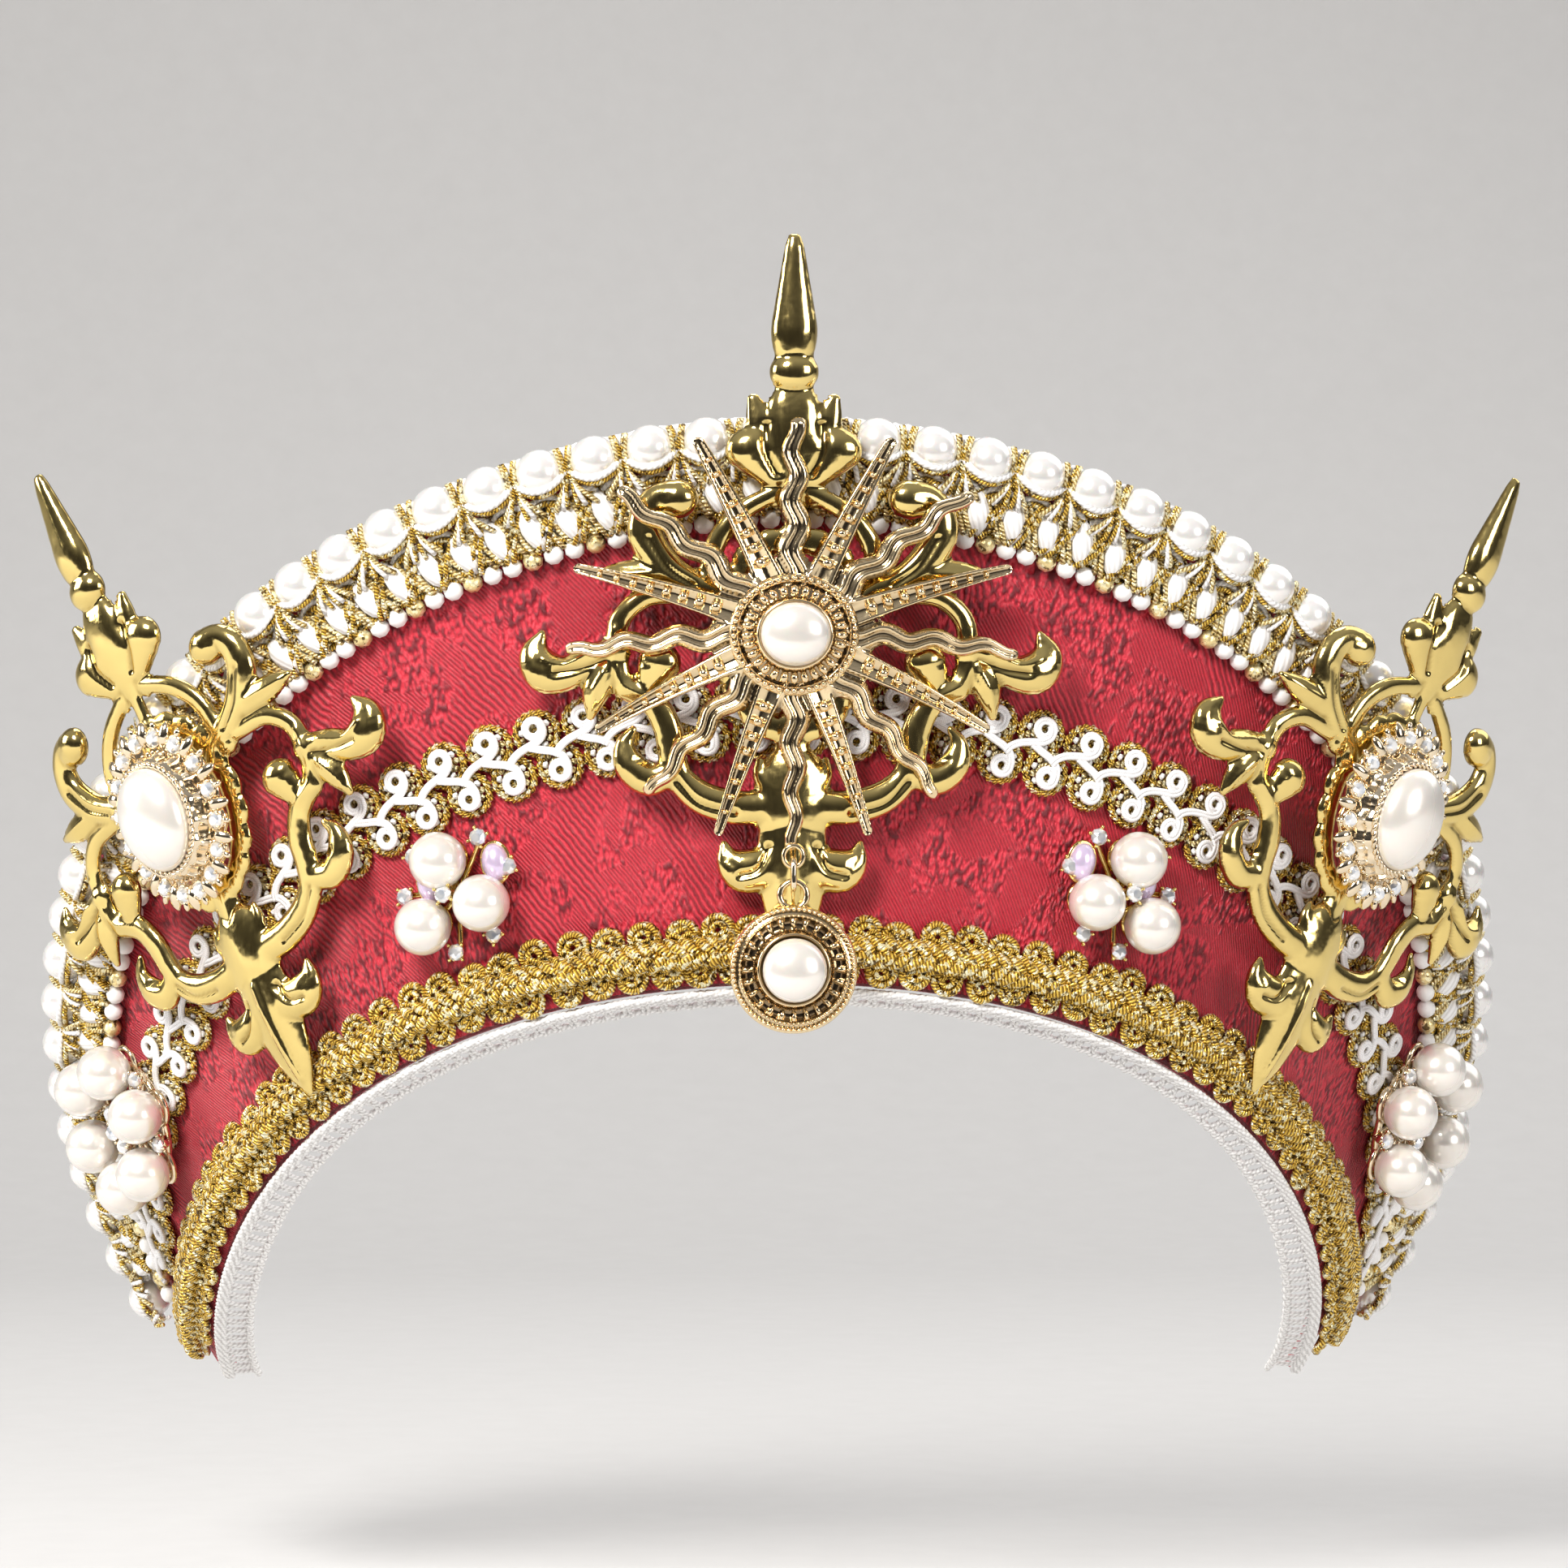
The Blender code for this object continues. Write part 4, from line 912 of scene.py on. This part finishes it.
STAMP_STROKES = {
    "stem": ([(2.4, 23.0, 1.2), (6.5, 20.4, 1.3), (9.4, 16.5, 1.3), (10.6, 12.0, 1.3),
              (11.4, 8.8, 1.5)], 0.6),
    "hook": ([(8.0, 7.2, 1.4), (9.6, 9.8, 1.3), (12.7, 11.2, 1.8), (15.8, 13.8, 2.2), (17.8, 17.6, 2.2),
              (17.6, 21.0, 2.0), (16.0, 23.0, 2.0), (14.0, 22.8, 2.75)], 0.75),
    "spur": ([(16.5, 12.8, 2.0), (20.5, 13.2, 1.9), (24.2, 13.8, 0.5)], 0.7),
    "branch": ([(13.5, 9.8, 1.4), (18.5, 9.8, 1.4), (22.0, 7.2, 1.4), (23.0, 3.0, 1.5), (22.6, -1.5, 1.6),
                (18.8, -4.8, 1.8), (17.2, -8.5, 2.0), (16.9, -12.0, 2.0), (16.0, -15.5, 2.0),
                (13.0, -18.3, 2.3), (8.5, -19.8, 2.4), (4.0, -20.0, 2.4)], 0.6),
    "eye": ([(22.4, -2.5, 1.4), (19.5, -2.6, 1.6), (17.6, 0.6, 2.9)], 0.7),
    "curl": ([(17.5, -14.5, 1.8), (20.5, -15.2, 2.2), (23.0, -13.0, 2.2), (23.4, -10.0, 1.3),
              (22.0, -8.0, 0.5)], 0.65),
    "arm": ([(23.0, 3.0, 1.8), (26.5, 2.4, 2.0), (30.0, 0.9, 2.4), (32.8, 1.6, 2.9), (33.8, 4.2, 2.0),
             (32.4, 6.8, 0.5)], 0.7),
    "arm_leaf": ([(24.4, 1.0, 1.8), (26.2, -1.8, 2.0), (27.6, -5.4, 0.6)], 0.65),
    "foot_lobe": ([(4.0, -28.4, 3.0), (7.6, -28.6, 3.0), (9.6, -27.2, 1.9), (10.2, -24.9, 0.6)], 0.6),
    "shoulder": ([(1.6, -17.4, 3.0), (4.0, -15.6, 1.7), (4.7, -13.4, 0.4)], 0.5),
    "crest_leaf": ([(2.0, 29.5, 2.6), (3.6, 32.6, 1.8), (4.5, 35.9, 0.7)], 0.55),
    "crest_lobe": ([(2.5, 26.0, 2.2), (4.7, 28.9, 3.2)], 0.6),
    "crest_point": ([(1.2, 27.0, 1.6), (2.0, 23.0, 0.9), (2.2, 21.3, 0.2)], 0.5),
}
STAMP_MIDDLE = {
    "spear": ([(57.6, 0.7), (56.0, 1.05), (52.0, 1.6), (48.0, 2.15), (45.0, 2.5), (42.6, 2.2),
               (41.4, 1.5)], 0.8),
    "bead": ([(39.6, 2.7), (39.4, 2.7)], 0.8),
    "calyx": ([(37.4, 1.7), (34.5, 3.0), (31.0, 3.4), (27.0, 2.6), (23.5, 1.5), (21.2, 1.0),
               (13.0, 1.0)], 0.55),
    "foot": ([(-8.0, 2.0), (-13.6, 2.8), (-16.0, 4.6), (-20.0, 5.6), (-22.5, 5.0), (-25.0, 5.2), (-28.0, 5.5),
              (-32.0, 4.8), (-36.0, 3.4), (-41.0, 0.6)], 0.42),
}
STAMP_GROOVES = [
    ([(12.4, 10.9), (15.4, 13.6), (17.4, 17.8)], 0.4, 0.45),
    ([(17.6, 13.0), (20.4, 13.2), (23.0, 13.6)], -0.3, 0.4),
    ([(24.5, 2.0), (28.0, 1.2), (31.2, 1.2)], 0.5, 0.4),
    ([(26.0, 3.4), (29.8, 2.2), (32.6, 3.6)], -0.4, 0.4),
    ([(24.8, 0.4), (26.3, -1.9), (27.4, -4.8)], -0.4, 0.35),
    ([(2.0, 25.6), (3.3, 29.0), (3.2, 32.4)], 0.6, 0.5),
    ([(3.6, -25.4), (5.2, -28.4), (8.0, -29.2)], 0.6, 0.45),
    ([(18.9, -11.2), (20.2, -12.9), (21.8, -12.2)], 0.5, 0.4),
    ([(8.4, -20.6), (13.4, -19.0), (16.4, -15.6)], 0.45, 0.45),
    ([(22.9, 6.0), (23.4, 2.4), (22.6, -1.4), (19.4, -4.0)], -0.25, 0.4),
]


def draw_stamping():
    """The stamping's relief: strokes on both sides of its middle line, its ring and its pressed lines."""
    relief = Relief((-36.8, -42.4), (36.8, 59.2), STAMP_STEP)
    for side in (-1.0, 1.0):
        for rows, tall in STAMP_STROKES.values():
            path = smooth_path(rows, 5) * (side, 1.0, 1.0)
            relief.stroke(path, tall)
    for name, (rows, tall) in STAMP_MIDDLE.items():
        path = smooth_path([(0.0, up, half) for up, half in rows], 6)
        relief.stroke(path, tall, ridge=0.35 if name == "foot" else 0.0)
    ring = []
    for step in range(121):
        turn = TURN * step / 120.0
        scallop = abs(math.cos(10.0 * turn))
        ring.append(((8.6 + 0.6 * scallop) * math.sin(turn),
                     RIVET_RISE + (12.6 + 0.6 * scallop) * math.cos(turn), 1.4 + 0.5 * scallop))
    relief.stroke(ring, 0.4)
    for rows, depth, spread in STAMP_GROOVES:
        for side in (-1.0, 1.0):
            relief.groove(smooth_path(rows, 5) * (side, 1.0), depth, spread)
    relief.groove([(0.0, -24.0), (0.0, -39.0)], -0.45, 0.5)
    return relief


def make_stampings():
    """The gilt stampings: one in the middle and a smaller one on each side."""
    relief = draw_stamping()
    places = (("filigree_centre", 0.0, STAMP_HEIGHT, centre_out, 1.0),
              ("filigree_left", -SIDE_STAMP_ANGLE, SIDE_STAMP_HEIGHT, side_out, SIDE_STAMP_SCALE),
              ("filigree_right", SIDE_STAMP_ANGLE, SIDE_STAMP_HEIGHT, side_out, SIDE_STAMP_SCALE))
    for name, angle, height, out_at, scale in places:
        shape = Shape()
        relief.solid(shape)
        shape.build("gilt_" + name, [GILT], "gilt", [name], on_crown(angle, height, out_at, 1.0, scale))


def turned_profile(shape, rows, sides, stretch=(1.0, 1.0), waves=0.0):
    """A form turned about the axis that stands off the panel, from (radius, level) rows."""
    radius, level = np.asarray(rows, float).T
    turn = full_turn(sides)[:, None]
    radius = radius * (1.0 + waves * np.cos(16.0 * turn))
    grid = np.stack([radius * np.cos(turn) * stretch[0], radius * np.sin(turn) * stretch[1],
                     level * np.ones((sides, 1))], -1)
    shape.sheet(grid, closed_rows=True, closed_columns=True)


def gem(shape, centre, radius, depth, turn):
    """A faceted stone with a flat table and a girdle."""
    sides = 8
    rows = [(0.52, depth), (0.86, 0.55 * depth), (1.0, 0.12 * depth), (0.9, -0.3 * depth)]
    verts = []
    for level, (share, up) in enumerate(rows):
        for step in turn + 0.5 * level * TURN / sides + full_turn(sides):
            verts.append((radius * share * math.cos(step), radius * share * math.sin(step), up))
    verts += [(0.0, 0.0, depth * 1.02), (0.0, 0.0, -0.3 * depth)]
    faces = []
    last = (len(rows) - 1) * sides
    for level in range(0, last, sides):
        for k in range(sides):
            a, b = level + k, level + (k + 1) % sides
            faces += [(a, a + sides, b), (b, a + sides, b + sides)]
    for k in range(sides):
        faces.append((4 * sides, k, (k + 1) % sides))
        faces.append((4 * sides + 1, last + (k + 1) % sides, last + k))
    shape.add(np.array(verts) + np.asarray(centre, float), faces)


def ring_points(radius, count, centre=(0.0, 0.0, 0.0), stretch=(1.0, 1.0), first=0.0):
    turn = first + full_turn(count)
    flat = radius * np.stack([stretch[0] * np.sin(turn), stretch[1] * np.cos(turn), np.zeros(count)], -1)
    return flat + np.asarray(centre)


def outward_axes(outward):
    """The axes of a form that points outward on a flat ring."""
    return np.stack([outward, np.cross(UP, outward), UP])


def make_star():
    """The sixteen-rayed brooch: beaded straight rays, waving rays and a hub of bead rings."""
    relief = Relief((-31.0, -30.5), (31.0, 30.5), STAR_STEP)
    hub_radius = 6.5
    beads = []
    share = np.linspace(0.0, 1.0, 90)
    reach = hub_radius + (STAR_REACH - 0.8 - hub_radius) * share
    for index in range(16):
        turn = math.radians(22.5 * index)
        side = np.array([math.cos(turn), -math.sin(turn)])
        if index % 2:
            sway = 0.0 * share
            half = 1.95 - 1.25 * share
            grooves = ((0.0, 0.5, 0.7), (-0.8, -0.45, 0.24), (0.8, -0.45, 0.24))
            for step in range(8):
                away = 10.6 + 2.2 * step
                size = 0.78 - 0.065 * step
                beads.append((away * math.sin(turn), away * math.cos(turn), 0.7 + 0.5 * size, size))
        else:
            sway = 0.62 * np.sin(share * math.pi * 6.6) * (1.0 - 0.3 * share)
            half = 1.75 - 0.85 * share ** 1.2
            grooves = ((-0.5, -0.5, 0.34), (0.5, -0.5, 0.34), (0.0, 0.12, 0.3))
        path = np.outer(reach, (-side[1], side[0])) + np.outer(sway, side)
        relief.stroke(np.column_stack([path, half]), 0.3, base=0.6, power=0.4, fillet=0.3)
        for offset, depth, spread in grooves:
            relief.groove(path + np.outer(half * offset, side), depth, spread)
    shape = Shape()
    relief.solid(shape, 0.4)
    for x, y, z, size in beads:
        shape.ball((x, y, z), size, sides=9, rings=6)
    hub = [(0.0, 0.3), (8.2, 0.3), (8.4, 0.7), (8.3, 1.5), (7.8, 1.75), (7.2, 1.8), (7.0, 1.3), (6.8, 1.3),
           (6.6, 2.0), (5.3, 2.2), (5.0, 2.5), (4.9, 3.5), (4.65, 4.1), (4.35, 4.0), (4.2, 2.4), (0.0, 2.4)]
    turned_profile(shape, hub, 72)
    # Painted shade in the hub's grooves, given row by row of its profile.
    shape.marks[-1] = np.tile([0, 0, 0, 0, 0, 0, 1, 1, 0.8, 0.8, 0.6, 0, 0, 0, 0.5, 0.5], 72)
    for spot in ring_points(7.7, 48, (0.0, 0.0, 1.9)):
        shape.ball(spot, 0.46, sides=8, rings=5)
    for spot in ring_points(5.95, 28, (0.0, 0.0, 2.35)):
        shape.ball(spot, (0.85, 0.56, 0.6), outward_axes(spot * (1.0, 1.0, 0.0) / 5.95), 8, 6)
    shape.tube(ring_points(1.45, 24, (0.0, -30.3, 1.35)), 0.4, UP, 8, True)
    place = on_crown(0.0, STAR_HEIGHT, lambda up: centre_out(up) + BROOCH_OUT)
    shape.build("sun_brooch", [ROSE_GILT], "rose_gilt", ["star_brooch"], place)
    stone = Shape()
    stone.ball((0.0, 0.0, 5.31), (4.35, 4.35, 2.61), sides=36, rings=20)
    stone.build("sun_brooch_pearl", [CREAM_PEARL], "pearl", ["star_pearl"], place)


def make_side_brooches():
    """Oval brooches: a pearl stone in a roped bezel, ringed by rhinestones between petals."""
    count = 16
    dish = [(0.0, 0.1), (8.4, 0.1), (8.8, 0.5), (8.5, 1.0), (6.7, 1.3), (6.3, 3.2), (6.0, 4.3), (5.6, 4.5),
            (5.3, 4.2), (5.2, 1.0), (0.0, 1.0)]
    turn = full_turn(264)
    for name, side in (("left", -1.0), ("right", 1.0)):
        shape, stones, pearl = Shape(), Shape(), Shape()
        turned_profile(shape, dish, 96, (1.0, 1.36), 0.035)
        for lag in (0.0, math.pi):
            wind = 22.0 * turn + lag
            radius = 1.0 + 0.032 * np.cos(wind)
            rope = np.stack([5.8 * radius * np.sin(turn), 7.85 * radius * np.cos(turn),
                             4.5 + 0.2 * np.sin(wind)], -1)
            shape.tube(rope, 0.28, UP, 6, True)
        for spot in ring_points(1.0, 48, (0.0, 0.0, 1.6), (7.0, 9.2)):
            shape.ball(spot, 0.4, sides=6, rings=4)
        for k, spot in enumerate(ring_points(1.0, count, (0.0, 0.0, 2.0), (8.15, 11.25))):
            gem(stones, spot, 1.15, 0.9, 0.3 * k)
            shape.tube(ring_points(1.22, 14, spot), 0.24, UP, 6, True)
            outward = unit(np.array([spot[0] / 8.15, spot[1] / 11.25 * 1.2, 0.0]))
            axes = outward_axes(outward)
            shape.ball(spot + 1.5 * outward - (0.0, 0.0, 0.2), (0.9, 0.5, 0.5), axes, 8, 6)
            for prong in (-0.9, 0.9):
                across = prong * axes[1] + 0.5 * outward
                shape.ball(spot + across + (0.0, 0.0, 0.35), (0.26, 0.26, 0.4), sides=6, rings=4)
        for spot in ring_points(1.0, count, (0.0, 0.0, 1.75), (8.35, 11.6), math.pi / count):
            outward = unit(np.array([spot[0] / 8.35, spot[1] / 11.6 * 1.2, 0.0]))
            petal = ((-1.6, 0.0), (-0.2, 0.4), (1.4, 0.0), (2.2, -0.2))
            path = smooth_path([spot + away * outward + (0.0, 0.0, up) for away, up in petal], 3)
            size = 0.85 * np.sin(np.linspace(0.10, 0.97, len(path)) * math.pi) + 0.08
            shape.tube(path, size, UP, 8, squash=0.7)
        place = on_crown(side * SIDE_STAMP_ANGLE, BROOCH_HEIGHT, lambda up: side_out(up) + BROOCH_OUT)
        shape.build("oval_brooch_" + name, [PALE_GILT], "pale_gilt", ["brooch_" + name], place)
        stones.build("oval_brooch_stones_" + name, [STONE], "pale_gilt", (), place, flat=True)
        pearl.ball((0.0, 0.0, 4.9), (5.4, 7.4, 3.6), sides=40, rings=24)
        pearl.build("oval_brooch_pearl_" + name, [CREAM_PEARL], "pearl", ["brooch_pearl_" + name], place)


CLUSTER_PEARLS = [(0.1, 5.0), (-4.6, -2.4), (4.6, -3.0)]
CLUSTER_STONES = [(-5.3, 6.6), (-8.6, 1.6), (-4.5, -7.0), (1.8, -7.8), (7.2, 2.0), (4.4, 6.8)]


def square_setting(shape, stones, spot, turn, level):
    """A square-set rhinestone: a cup with four claws round a faceted stone."""
    spot = np.array([spot[0], spot[1], level])
    cup = ring_points(1.45, 4, spot, first=turn)
    lower = ring_points(1.0, 4, spot - (0.0, 0.0, 1.3), first=turn)
    inner = cup * (0.86, 0.86, 1.0) + spot * (0.14, 0.14, 0.0)
    foot = lower * (0.3, 0.3, 1.0) + spot * (0.7, 0.7, 0.0)
    grid = np.stack([inner, cup, lower, foot], 1)
    shape.sheet(np.stack([inner, cup, lower, foot], 1)[::-1], closed_rows=True, closed_columns=True)
    for corner in cup:
        shape.ball(corner + (0.0, 0.0, 0.15), (0.3, 0.3, 0.45), sides=6, rings=5)
    gem(stones, spot + (0.0, 0.0, 0.1), 1.25, 0.85, turn)


def wire(shape, x, y, rows):
    """A bent wire that carries a stone, from (share of the way out, level) rows."""
    aslant = (0.3, 0.2, 1.0)
    path = smooth_path([(x * share, y * share, level) for share, level in rows], 4)
    shape.tube(path, 0.42, aslant)


def pearl_seat(shape, x, y, level):
    """The ring under a pearl, and the bar that carries it."""
    shape.tube(ring_points(2.4, 20, (x, y, 0.9)), 0.45, UP, 6, True)
    shape.tube([(0.0, 0.0, level), (x * 0.5, y * 0.5, level), (x, y, level)], 0.5, UP)


def make_cluster(name, side):
    """Three pearls on a wired setting, with square stones and two opal stones between them."""
    shape, stones, opals = Shape(), Shape(), Shape()
    angle, height, out = CLUSTER
    place = on_crown(angle, height, lambda up: out, side)
    for x, y in CLUSTER_STONES:
        square_setting(shape, stones, (x, y), math.atan2(x, y) + 0.78, 2.5)
        wire(shape, x, y, ((0.0, 0.6), (0.5, 0.6), (1.0, 0.8), (1.0, 1.3)))
    square_setting(shape, stones, (0.0, 0.3), 0.78, 6.0)
    shape.tube([(0.0, 0.3, 0.5), (0.0, 0.3, 5.0)], 0.5, (1.0, 0.0, 0.0), 8)
    for x, y in CLUSTER_PEARLS:
        pearl_seat(shape, x, y, 0.5)
    for x, y in ((-6.9, 2.6), (3.0, 2.4)):
        opals.ball((x, y, 2.4), (1.9, 2.7, 1.7), sides=20, rings=12)
        shape.tube(ring_points(1.0, 24, (x, y, 2.2), (2.0, 2.8)), 0.28, UP, 6, True)
    way = int(side)
    shape.build("cluster_setting_" + name, [GILT], "gilt", ["cluster_" + name], place, way=way)
    stones.build("cluster_stones_" + name, [STONE], "pale_gilt", (), place, flat=True, way=way)
    opals.build("cluster_opals_" + name, [OPAL], "pearl", (), place, way=way)
    make_pearls("cluster_pearls_" + name, CLUSTER_PEARLS, CLUSTER, side, "cluster_pearl_" + name)


def make_pearls(name, places, where, side, nodes):
    """Smooth pearls in the places of a setting's pearl solids."""
    angle, height, out = where
    shape = Shape()
    for x, y in places:
        turn = x / (HALF_WIDTH + height * math.sin(FLARE))
        shape.ball(crown_points(side * (angle + turn), height + y, out + 5.0), 4.0, sides=36, rings=22)
    shape.build(name, [CREAM_PEARL], "pearl", ["%s_%d" % (nodes, k + 1) for k in range(len(places))])


def make_rosette(name, side):
    """Six pearls on a ring, square stones between them and five more in the middle."""
    shape, stones = Shape(), Shape()
    angle, height, out = ROSETTE
    place = on_crown(angle, height, lambda up: out, side)
    turns = [math.radians(12.0 + 60.0 * k) for k in range(6)]
    pearls = [(8.8 * math.sin(turn), 8.8 * math.cos(turn)) for turn in turns]
    shape.tube(ring_points(8.8, 60, (0.0, 0.0, 0.6)), 0.6, UP, 6, True)
    shape.tube(ring_points(3.0, 30, (0.0, 0.0, 0.9)), 0.6, UP, 6, True)
    for turn in turns:
        x, y = 9.68 * math.sin(turn + math.pi / 6.0), 9.68 * math.cos(turn + math.pi / 6.0)
        square_setting(shape, stones, (x, y), turn + 0.5, 2.6)
        wire(shape, x, y, ((0.2, 0.7), (0.7, 0.6), (1.0, 0.8), (1.0, 1.4)))
    for x, y in pearls:
        pearl_seat(shape, x, y, 0.6)
    for turn in full_turn(5):
        x, y = 2.6 * math.sin(turn), 2.6 * math.cos(turn)
        square_setting(shape, stones, (x, y), turn, 3.6)
        shape.tube([(x, y, 0.6), (x, y, 2.5)], 0.4, (1.0, 0.0, 0.0))
    way = int(side)
    shape.build("rosette_setting_" + name, [PALE_GILT], "gilt", ["rosette_" + name], place, way=way)
    stones.build("rosette_stones_" + name, [STONE], "pale_gilt", (), place, flat=True, way=way)
    make_pearls("rosette_pearls_" + name, pearls, ROSETTE, side, "rosette_pearl_" + name)


def make_pendant():
    """The drop: a link, a disc with a milled rim and a sunburst of facets, and its pearl."""
    shape, link, stone = Shape(), Shape(), Shape()
    centre = -14.05

    def hang(points):
        """From (sideways, up, forward) round the hinge to the crown's frame."""
        return np.stack([points[:, 0], HINGE[1] - points[:, 2], HINGE[2] + points[:, 1]], -1)

    rows = [(0.0, -1.0), (8.2, -1.0), (8.7, -0.6), (8.75, 0.6), (8.4, 1.05), (7.9, 0.85), (7.6, 1.3),
            (7.35, 1.3), (7.15, 0.5), (5.3, 0.35), (5.15, 1.6), (4.95, 2.2), (4.7, 2.2), (4.5, 1.2),
            (0.0, 0.9)]
    turned_profile(shape, rows, 88)
    # Painted shade in the disc's grooves, given row by row of its profile.
    shape.marks[-1] = np.tile([0, 0, 0, 0, 0, 0.9, 0, 0, 1, 1, 0.3, 0, 0, 0.6, 0.6], 88)
    for radius, size, level in ((8.3, 0.4, 1.0), (7.4, 0.26, 1.25)):
        for spot in ring_points(radius, 72, (0.0, 0.0, level)):
            shape.ball(spot, (size, size, 0.5), sides=6, rings=5)
    facet = [(0, 4, 1), (1, 4, 5), (1, 5, 2), (2, 5, 3), (3, 5, 4), (3, 4, 0), (0, 1, 2), (0, 2, 3)]
    corners = ((7.15, 0.8, 0.3), (7.15, -0.8, 0.3), (5.4, -0.25, 0.3), (5.4, 0.25, 0.3), (6.95, 0.0, 1.5),
               (5.5, 0.0, 0.9))
    for turn in full_turn(24):
        axes = np.array([(math.sin(turn), math.cos(turn), 0.0), (math.cos(turn), -math.sin(turn), 0.0), UP])
        shape.add(np.array(corners) @ axes, facet)
    shape.verts = [block + (0.0, centre, 0.0) for block in shape.verts]
    shape.tube(ring_points(1.85, 28, (0.0, -3.85, 0.0)), 0.45, UP, 8, True)
    shape.build("drop_disc", [ROSE_GILT], "rose_gilt", ["pendant_disc"], hang, "pendant")
    turn = np.linspace(0.0, math.pi, 12)
    upper = np.stack([np.zeros(12), 1.1 * np.sin(turn), 1.1 * np.cos(turn)], -1)
    lower = -upper - (0.0, 2.0, 0.0)
    link.tube(np.vstack([upper, lower]), 0.4, (1.0, 0.0, 0.0), 8, True)
    link.build("drop_link", [PALE_GILT], "pale_gilt", ["jump_ring"], hang, "pendant")
    stone.ball((0.0, centre, 4.04), (4.4, 4.4, 2.64), sides=36, rings=20)
    stone.build("drop_pearl", [CREAM_PEARL], "pearl", ["pendant_pearl"], hang, "pendant")


# The set: floor, lights and camera. Each lamp is (name, place, size, power, colour).

CAMERA_LENS = 127.0
CAMERA_SPOT = (-0.0376, -0.839, 0.0725)
CAMERA_TURN = -0.048
LAMPS = [("key", (-0.42, -0.85, 0.62), 0.30, 13.5, (1.0, 0.98, 0.95)),
         ("fill", (0.75, -0.8, 0.25), 0.4, 4.0, (1.0, 0.98, 0.96)),
         ("left", (-0.85, -0.1, 0.3), 0.4, 3.4, (1.0, 0.99, 0.97)),
         ("top", (0.0, 0.25, 0.9), 0.5, 3.6, (1.0, 1.0, 1.0)),
         ("back", (0.6, 0.3, 0.7), 0.9, 3.4, (1.0, 1.0, 1.0))]


def make_set():
    """A pale floor that sweeps up behind, soft lights and the camera at the photograph's angle."""
    paint = Paint("pale_paper", (0.58, 0.57, 0.56), 0.9)
    grain = paint.noise(paint.place(40.0), 3.0, 4.0, 0.6)
    paint.drive("Base Color", paint.blend(grain, (0.56, 0.55, 0.54), (0.60, 0.59, 0.58)))
    profile = [(-0.4, -0.05)]
    for k in range(13):
        turn = math.pi / 2.0 * k / 12.0
        profile.append((0.55 + 0.5 * math.sin(turn), 0.45 - 0.5 * math.cos(turn)))
    profile.append((1.05, 2.2))
    across = np.linspace(-2.6, 2.6, 9)
    verts = [(x, y, z) for x in across for y, z in profile]
    rows = len(profile)
    faces = [(i * rows + j, (i + 1) * rows + j, (i + 1) * rows + j + 1, i * rows + j + 1)
             for i in range(8) for j in range(rows - 1)]
    mesh = bpy.data.meshes.new("sweep")
    mesh.from_pydata(verts, [], faces)
    mesh.shade_smooth()
    mesh.materials.append(paint.finish)
    sweep = bpy.data.objects.new("sweep", mesh)
    bpy.context.scene.collection.objects.link(sweep)
    for name, spot, size, power, tint in LAMPS:
        lamp = bpy.data.lights.new(name, "AREA")
        lamp.shape = "SQUARE"
        lamp.size = size
        lamp.energy = power
        lamp.color = tint
        holder = bpy.data.objects.new(name, lamp)
        holder.location = spot
        aim = Vector((0.0, -0.04, 0.06)) - Vector(spot)
        holder.rotation_euler = aim.to_track_quat("-Z", "Y").to_euler()
        bpy.context.scene.collection.objects.link(holder)
    world = bpy.data.worlds.new("studio")
    nodes = Nodes(world)
    coords = nodes.new("ShaderNodeTexCoord")
    height = nodes.new("ShaderNodeSeparateXYZ", {0: coords.outputs["Generated"]}).outputs[2]
    sky = nodes.blend(nodes.soft_step(height, -0.1, 0.9), (0.035, 0.034, 0.036), (0.34, 0.34, 0.35))
    nodes.tree.links.new(sky, nodes.tree.nodes["Background"].inputs[0])
    bpy.context.scene.world = world
    camera = bpy.data.cameras.new("camera")
    camera.lens = CAMERA_LENS
    camera.sensor_width = 36.0
    camera.clip_start = 0.01
    holder = bpy.data.objects.new("camera", camera)
    holder.location = CAMERA_SPOT
    holder.rotation_euler = (math.pi / 2.0, 0.0, CAMERA_TURN)
    bpy.context.scene.collection.objects.link(holder)
    bpy.context.scene.camera = holder
    bpy.context.scene.view_settings.view_transform = "Standard"


make_set()
make_panel()
make_gold_braid()
make_scroll_braid()
make_trim()
make_pearl_edge()
make_piping()
make_lace()
make_stampings()
make_star()
make_side_brooches()
for label, direction in (("left", -1.0), ("right", 1.0)):
    make_cluster(label, direction)
    make_rosette(label, direction)
make_pendant()
